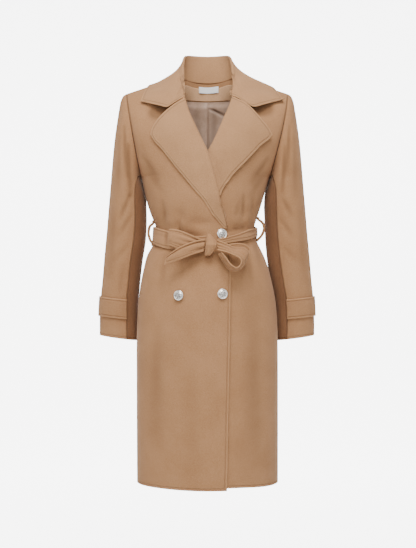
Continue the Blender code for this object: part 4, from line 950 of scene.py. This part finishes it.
def build_carrier(name, side, camel):
    """A narrow rolled loop of cloth along the middle of its solid."""
    node = "belt_carrier_" + name

    def outside(grid):
        return side * np.nanmean(grid[..., 0])

    grid = read_grid(node, (21, 2), outside, rising(0, (0, 0, -1)), rising(1, (0, 1, 0)))
    line = finer(grid, 0.0010).mean(axis=1)
    line[:, 0] -= side * CARRIER_DEEP
    onward = unit(np.gradient(line, axis=0))
    across = unit(np.array([0.0, 1.0, 0.0]) - onward[:, 1:2] * onward)
    third = np.cross(onward, across)
    turn = 2 * math.pi * np.arange(CARRIER_SIDES) / CARRIER_SIDES
    twist = CARRIER_TWIST * np.arange(len(line))[:, None]
    radius = CARRIER_HALF * (1 - 0.10 * np.abs(np.sin(2 * turn[None] + twist)))
    radius[[0, -1]] = 0.0
    points = line[:, None] + radius[..., None] * (np.cos(turn)[None, :, None] * across[:, None]
                                                  + np.sin(turn)[None, :, None] * third[:, None])
    return solid(node, points, camel)


BELT = 0.0034            # drawn thickness
BELT_STEP = 0.0035
BELT_CREASES = {
    "front": (
        # the first row is a trough beside the end of the bow's right loop, darkened as its painted shadow on
        # the belt
        (-99.5, -380, -101, -432, 5, 2.2), (40, -410.5, 86, -396, 2.2, 1.4),
        (86, -396, 122, -387.5, 2.6, 1.4), (-128, -396, -98, -401, 4, 1),
    ),
    "back": (
        (-100, -393, 10, -396, 3.5, 0.8), (30, -400, 110, -392, 3.5, 0.8),
    ),
}


def build_belt(camel):
    carriers = [build_carrier(name, side, camel) for name, side in (("right", -1), ("left", 1))]
    grid = read_grid("belt", (49, 3), farther, TO_LEFT, DOWN)
    belt = cloth(("belt",), grid, away_from(0.0, 0.0), BELT, (camel,), BELT_STEP, BELT_CREASES, ("b0", "b1"))
    finer(grid, BELT_STEP)


# Ribbons of the bow, in millimetres: each row is a section, x, y, z of its upper and its lower edge.
RIGHT_LOOP = (
    (-3.8, -139.5, -411.7, -3.8, -139.5, -433.9), (-17.1, -141.5, -407.8, -21.4, -141.5, -436.4),
    (-37.5, -142, -398.9, -40.4, -142, -437.7), (-57, -139, -391, -57, -139, -436.5),
    (-75, -133, -385.8, -75, -133, -431.3), (-87, -127, -384.5, -87, -127, -426),
    (-92.5, -121.5, -385.5, -92.5, -121.5, -424.5), (-88.5, -117.5, -388, -88.5, -117.5, -425),
    (-77, -119, -391.5, -77, -119, -429), (-60, -125.5, -397, -60, -125.5, -433),
    (-38, -130.5, -403, -38, -130.5, -435), (-18, -131.5, -408, -18, -131.5, -435),
    (-3.8, -131.5, -412, -3.8, -131.5, -433),
)
RIGHT_TAIL = (
    (-3.8, -144.5, -409.9, -7.4, -144, -439.1), (-22.7, -147.5, -412.4, -28.5, -147, -445.1),
    (-45.4, -150, -419.6, -47.4, -148, -452.2), (-67.9, -149, -429.8, -66.4, -147, -459.3),
    (-85.3, -145, -441.1, -85.4, -143, -465.9), (-97.8, -141, -451.2, -102.1, -140, -471.1),
)
LEFT_LOOP = (
    (23.6, -138, -409, 23.6, -145, -436), (50, -138, -419.5, 46.7, -158, -440.2),
    (70.4, -136, -428.8, 62.3, -165, -445.5), (86.8, -136, -428, 75.9, -168, -452.8),
    (101.3, -136, -439, 82.3, -168, -461.2), (98, -137, -455.6, 80.6, -168, -471.3),
    (91.5, -138, -471.6, 74, -168, -477.9), (82, -139, -482, 68.1, -168, -479.3),
    (70.3, -140, -487.5, 59.9, -168, -475.6), (54.6, -140, -486.1, 52.9, -167, -468.5),
    (32.8, -140, -459.2, 42.4, -163, -452.7), (25, -140, -445, 33.5, -153, -441.5),
)
LEFT_TAIL = (
    (23.6, -133, -424, 23.6, -133, -434), (50.1, -132.5, -421, 50.1, -132.5, -440),
    (78.8, -129, -418.2, 78.8, -131, -444.8), (95.6, -124.5, -422.7, 93.1, -127, -449.5),
    (104.3, -120.5, -430.3, 100.4, -123.5, -454.2),
)
# For each ribbon: its node and sections, for a loop the point that it goes round, how far its middle
# is cambered out, and lengthwise ridges or grooves as (place across, half width, height where it
# leaves the knot, and at the other end).
RIBBONS = (
    ("bow_loop_right", RIGHT_LOOP, (-0.05, -0.125, -0.41), 0.0016,
     ((0.20, 0.06, -0.0030, -0.0004), (0.34, 0.07, 0.0012, 0.0002), (0.52, 0.07, -0.0026, 0.0002),
      (0.78, 0.06, -0.0032, -0.0012))),
    ("bow_tail_right", RIGHT_TAIL, None, 0.0014,
     ((0.20, 0.05, -0.0034, -0.0026), (0.46, 0.09, 0.0012, 0.0002), (0.72, 0.07, -0.0028, -0.0004))),
    ("bow_loop_left", LEFT_LOOP, (0.06, -0.15, -0.45), 0.0012,
     ((0.25, 0.07, -0.0022, -0.0006), (0.55, 0.06, -0.0024, -0.0016), (0.80, 0.06, -0.0010, 0.0000))),
    ("bow_tail_left", LEFT_TAIL, None, 0.0010,
     ((0.35, 0.10, -0.0020, -0.0012), (0.70, 0.10, 0.0010, 0.0000))),
)


def build_bow(camel):
    for node, rows, centre, camber, folds in RIBBONS:
        rows = np.array(rows) / 1000
        grid = np.stack([rows[:, :3], (rows[:, :3] + rows[:, 3:]) / 2, rows[:, 3:]], axis=1)
        fine = finer(grid, 0.0016)
        outward = away_from(*centre) if centre else ahead
        normal = normals(fine, outward)
        along = np.linspace(0, 1, fine.shape[0])[:, None]
        across = np.linspace(0, 1, fine.shape[1])[None, :]
        gather = 1 - ease(along, 0.0, 0.5)
        if centre:
            gather = np.maximum(gather, ease(along, 0.6, 1.0))
        height = camber * (1 - (2 * across - 1) ** 2) * (0.4 + 0.6 * (1 - gather))
        for place, half, near, far in folds:
            size = near * gather + far * (1 - gather)
            height = height + size * np.exp(-((across - place) / half) ** 2)
        fine = fine + normal * (height - camber)[..., None]
        normal = normals(fine, outward)
        sides = ("b0", "b1") if centre else ("b0", "b1", "a1")
        # the ribbons' grooves are darkened by their depth: painted shade
        piece = wall((node,), fine, normal, WOOL, (camel,), sides, (), np.maximum(-height, 0.0) * 1.3)


# The knot from its top to its bottom, in millimetres: z, x of its right and left side, y of its front.
KNOT = (
    (-397, -0.2, 8, -140),
    (-403, -1.8, 17.2, -146.2),
    (-411, -2.4, 23, -149.8),
    (-422, -2.8, 23.5, -151.2),
    (-433, -3.2, 23.3, -150.6),
    (-442, -4, 19.6, -147.7),
    (-448.5, -5.4, 7.8, -142.2),
)
KNOT_BACK_Y = -0.1310
KNOT_SIDES = 72
# Hollows between the belt's wraps: place across, lean, half width, depth.
KNOT_WRAPS = ((0.16, 0.05, 0.045, 0.0014), (0.46, -0.04, 0.07, 0.0006), (0.84, -0.06, 0.050, 0.0012))


def build_knot(camel):
    """The belt pulled round itself: a band with wraps that run down it, closed all round."""
    table = np.array(KNOT)[:, None, :] / 1000
    rows = drawn_finer(np.repeat(table, 2, axis=1)[..., 1:], 0, 0.0012, False)[:, 0]
    heights = np.interp(np.linspace(0, len(KNOT) - 1, len(rows)), range(len(KNOT)), table[:, 0, 0])
    turn = 2 * math.pi * np.arange(KNOT_SIDES) / KNOT_SIDES
    cosine, sine = np.cos(turn), np.sin(turn)
    points = []
    for z, (right, left, front) in zip(heights, rows):
        down = (heights[0] - z) / (heights[0] - heights[-1])
        blunt = np.sign(cosine) * np.abs(cosine) ** 0.4
        reach = np.sign(sine) * np.abs(sine) ** 0.5
        x = (right + left) / 2 + (left - right) / 2 * blunt
        y = KNOT_BACK_Y + (front - KNOT_BACK_Y) / 2 * (1 + reach)
        place = (x - right) / max(left - right, 1e-6)
        facing = ease(sine, 0.05, 0.5)
        wraps = 0.0
        for at, lean, half, depth in KNOT_WRAPS:
            wraps = wraps + depth * np.exp(-((place - at - lean * (2 * down - 1)) / half) ** 2)
        pinch = 0.0008 * math.cos(2 * math.pi * down) ** 2
        y = y + facing * (wraps + pinch * 0.5)
        points.append(np.stack([x, y, np.full(KNOT_SIDES, z)], axis=-1))
    points = np.array(points)
    tips = [np.repeat(points[k].mean(axis=0)[None], KNOT_SIDES, axis=0)[None] for k in (0, -1)]
    solid("belt_knot", np.concatenate([tips[0], points, tips[1]]), camel)


# ------------------------ buttons

# Half a section through a button, in millimetres: radius and height over its shank's foot.
BUTTON = ((0, 8.15), (1.6, 8.1), (3.2, 7.95), (4.8, 7.7), (6.4, 7.35), (8, 6.9), (9.2, 6.5),
          (9.7, 6.28), (10.1, 6.4), (10.6, 6.62), (11.2, 6.65), (11.8, 6.45), (12.2, 6), (12.3, 5.45),
          (12.1, 4.9), (11.6, 4.4), (10.8, 3.95), (9, 3.75), (6, 3.7), (3, 3.65), (2.2, 3.4), (2, 2.8),
          (2, 1.6), (2.2, 1), (0, 0.95))
BUTTON_SIDES = 96


def build_buttons(metal):
    """Domed buttons with a rolled rim and a plain ornament of leaves round a boss."""
    for number in (1, 2, 3):
        node = "button_%d" % number
        centre, way, side = button_place(welded(node)[0])
        turn = 2 * math.pi * np.arange(BUTTON_SIDES) / BUTTON_SIDES
        rows = []
        shown = []
        for radius, height in refined_profile():
            raised = np.zeros(BUTTON_SIDES)
            # light: 1 on the raised leaves, boss and bead, lower between them, for the silver's painted
            # shade
            light = np.full(BUTTON_SIDES, 0.9)
            if height > 0.0062 and radius < 0.0098:
                swirl = turn + 110.0 * radius
                leaf = np.abs(np.sin(3 * swirl)) ** 0.8 * math.exp(-((radius - 0.0062) / 0.0022) ** 2)
                boss = math.exp(-(radius / 0.0019) ** 2)
                bead = 0.6 * math.exp(-((radius - 0.0032) / 0.0004) ** 2)
                raised = 0.00055 * leaf + 0.00040 * boss + 0.00040 * bead
                light = np.clip(0.95 * leaf + boss + 1.3 * bead + 0.8 * ease(radius, 0.0082, 0.0090), 0, 1)
            rows.append(np.stack([radius * np.cos(turn), radius * np.sin(turn), height + raised], axis=-1))
            shown.append(light)
        local = np.array(rows)
        other = np.cross(way, side)
        cloud = centre + local[..., :1] * side + local[..., 1:2] * other + local[..., 2:] * way
        solid(node, cloud, metal, np.array(shown))


def refined_profile():
    """The button's half section, drawn finer."""
    table = np.array(BUTTON) / 1000
    fine = []
    for (r0, h0), (r1, h1) in zip(table[:-1], table[1:]):
        steps = max(1, int(math.ceil(math.hypot(r1 - r0, h1 - h0) / 0.0004)))
        fine += [(r0 + (r1 - r0) * k / steps, h0 + (h1 - h0) * k / steps) for k in range(steps)]
    return fine + [tuple(table[-1])]


def button_place(points):
    """The foot of a button's axis, the way the axis looks, and a direction across it."""
    middle = points.mean(axis=0)
    ways = np.linalg.eigh(np.cov((points - middle).T))[1]
    way = ways[:, 0] * (-1 if ways[1, 0] > 0 else 1)
    foot = middle + way * (((points - middle) @ way).min() - 0.0010)
    side = np.cross(way, np.array([0.0, 0.0, 1.0]))
    return foot, way, side / np.linalg.norm(side)


def main():
    add_camera()
    add_stage()
    camel = wool("camel_wool_body", (0.285, 0.137, 0.060), (0.462, 0.247, 0.119))
    # pale: a lighter copy of the body wool for collar and lapels, painted light
    pale = wool("camel_wool_collar_painted_light", (0.308, 0.156, 0.072), (0.492, 0.272, 0.134))
    # under: a darker copy of the body wool for the under sleeves, painted shade
    under = wool("camel_wool_under_painted_shade", (0.150, 0.067, 0.030), (0.252, 0.125, 0.060))
    # facing: the outer wool made lighter inside the neck, painted light against its shade
    facing = wool("camel_wool_facing_painted_light", (0.500, 0.280, 0.145), (0.740, 0.460, 0.260))
    inside = satin("taupe_satin", (0.340, 0.218, 0.150), (0.480, 0.320, 0.230))
    build_body(camel, inside)
    build_inside(facing, inside, label_cloth())
    build_sleeves(camel, under, inside)
    build_lapels(pale)
    build_collar(pale)
    build_belt(camel)
    build_bow(camel)
    build_knot(camel)
    build_buttons(silver())


main()
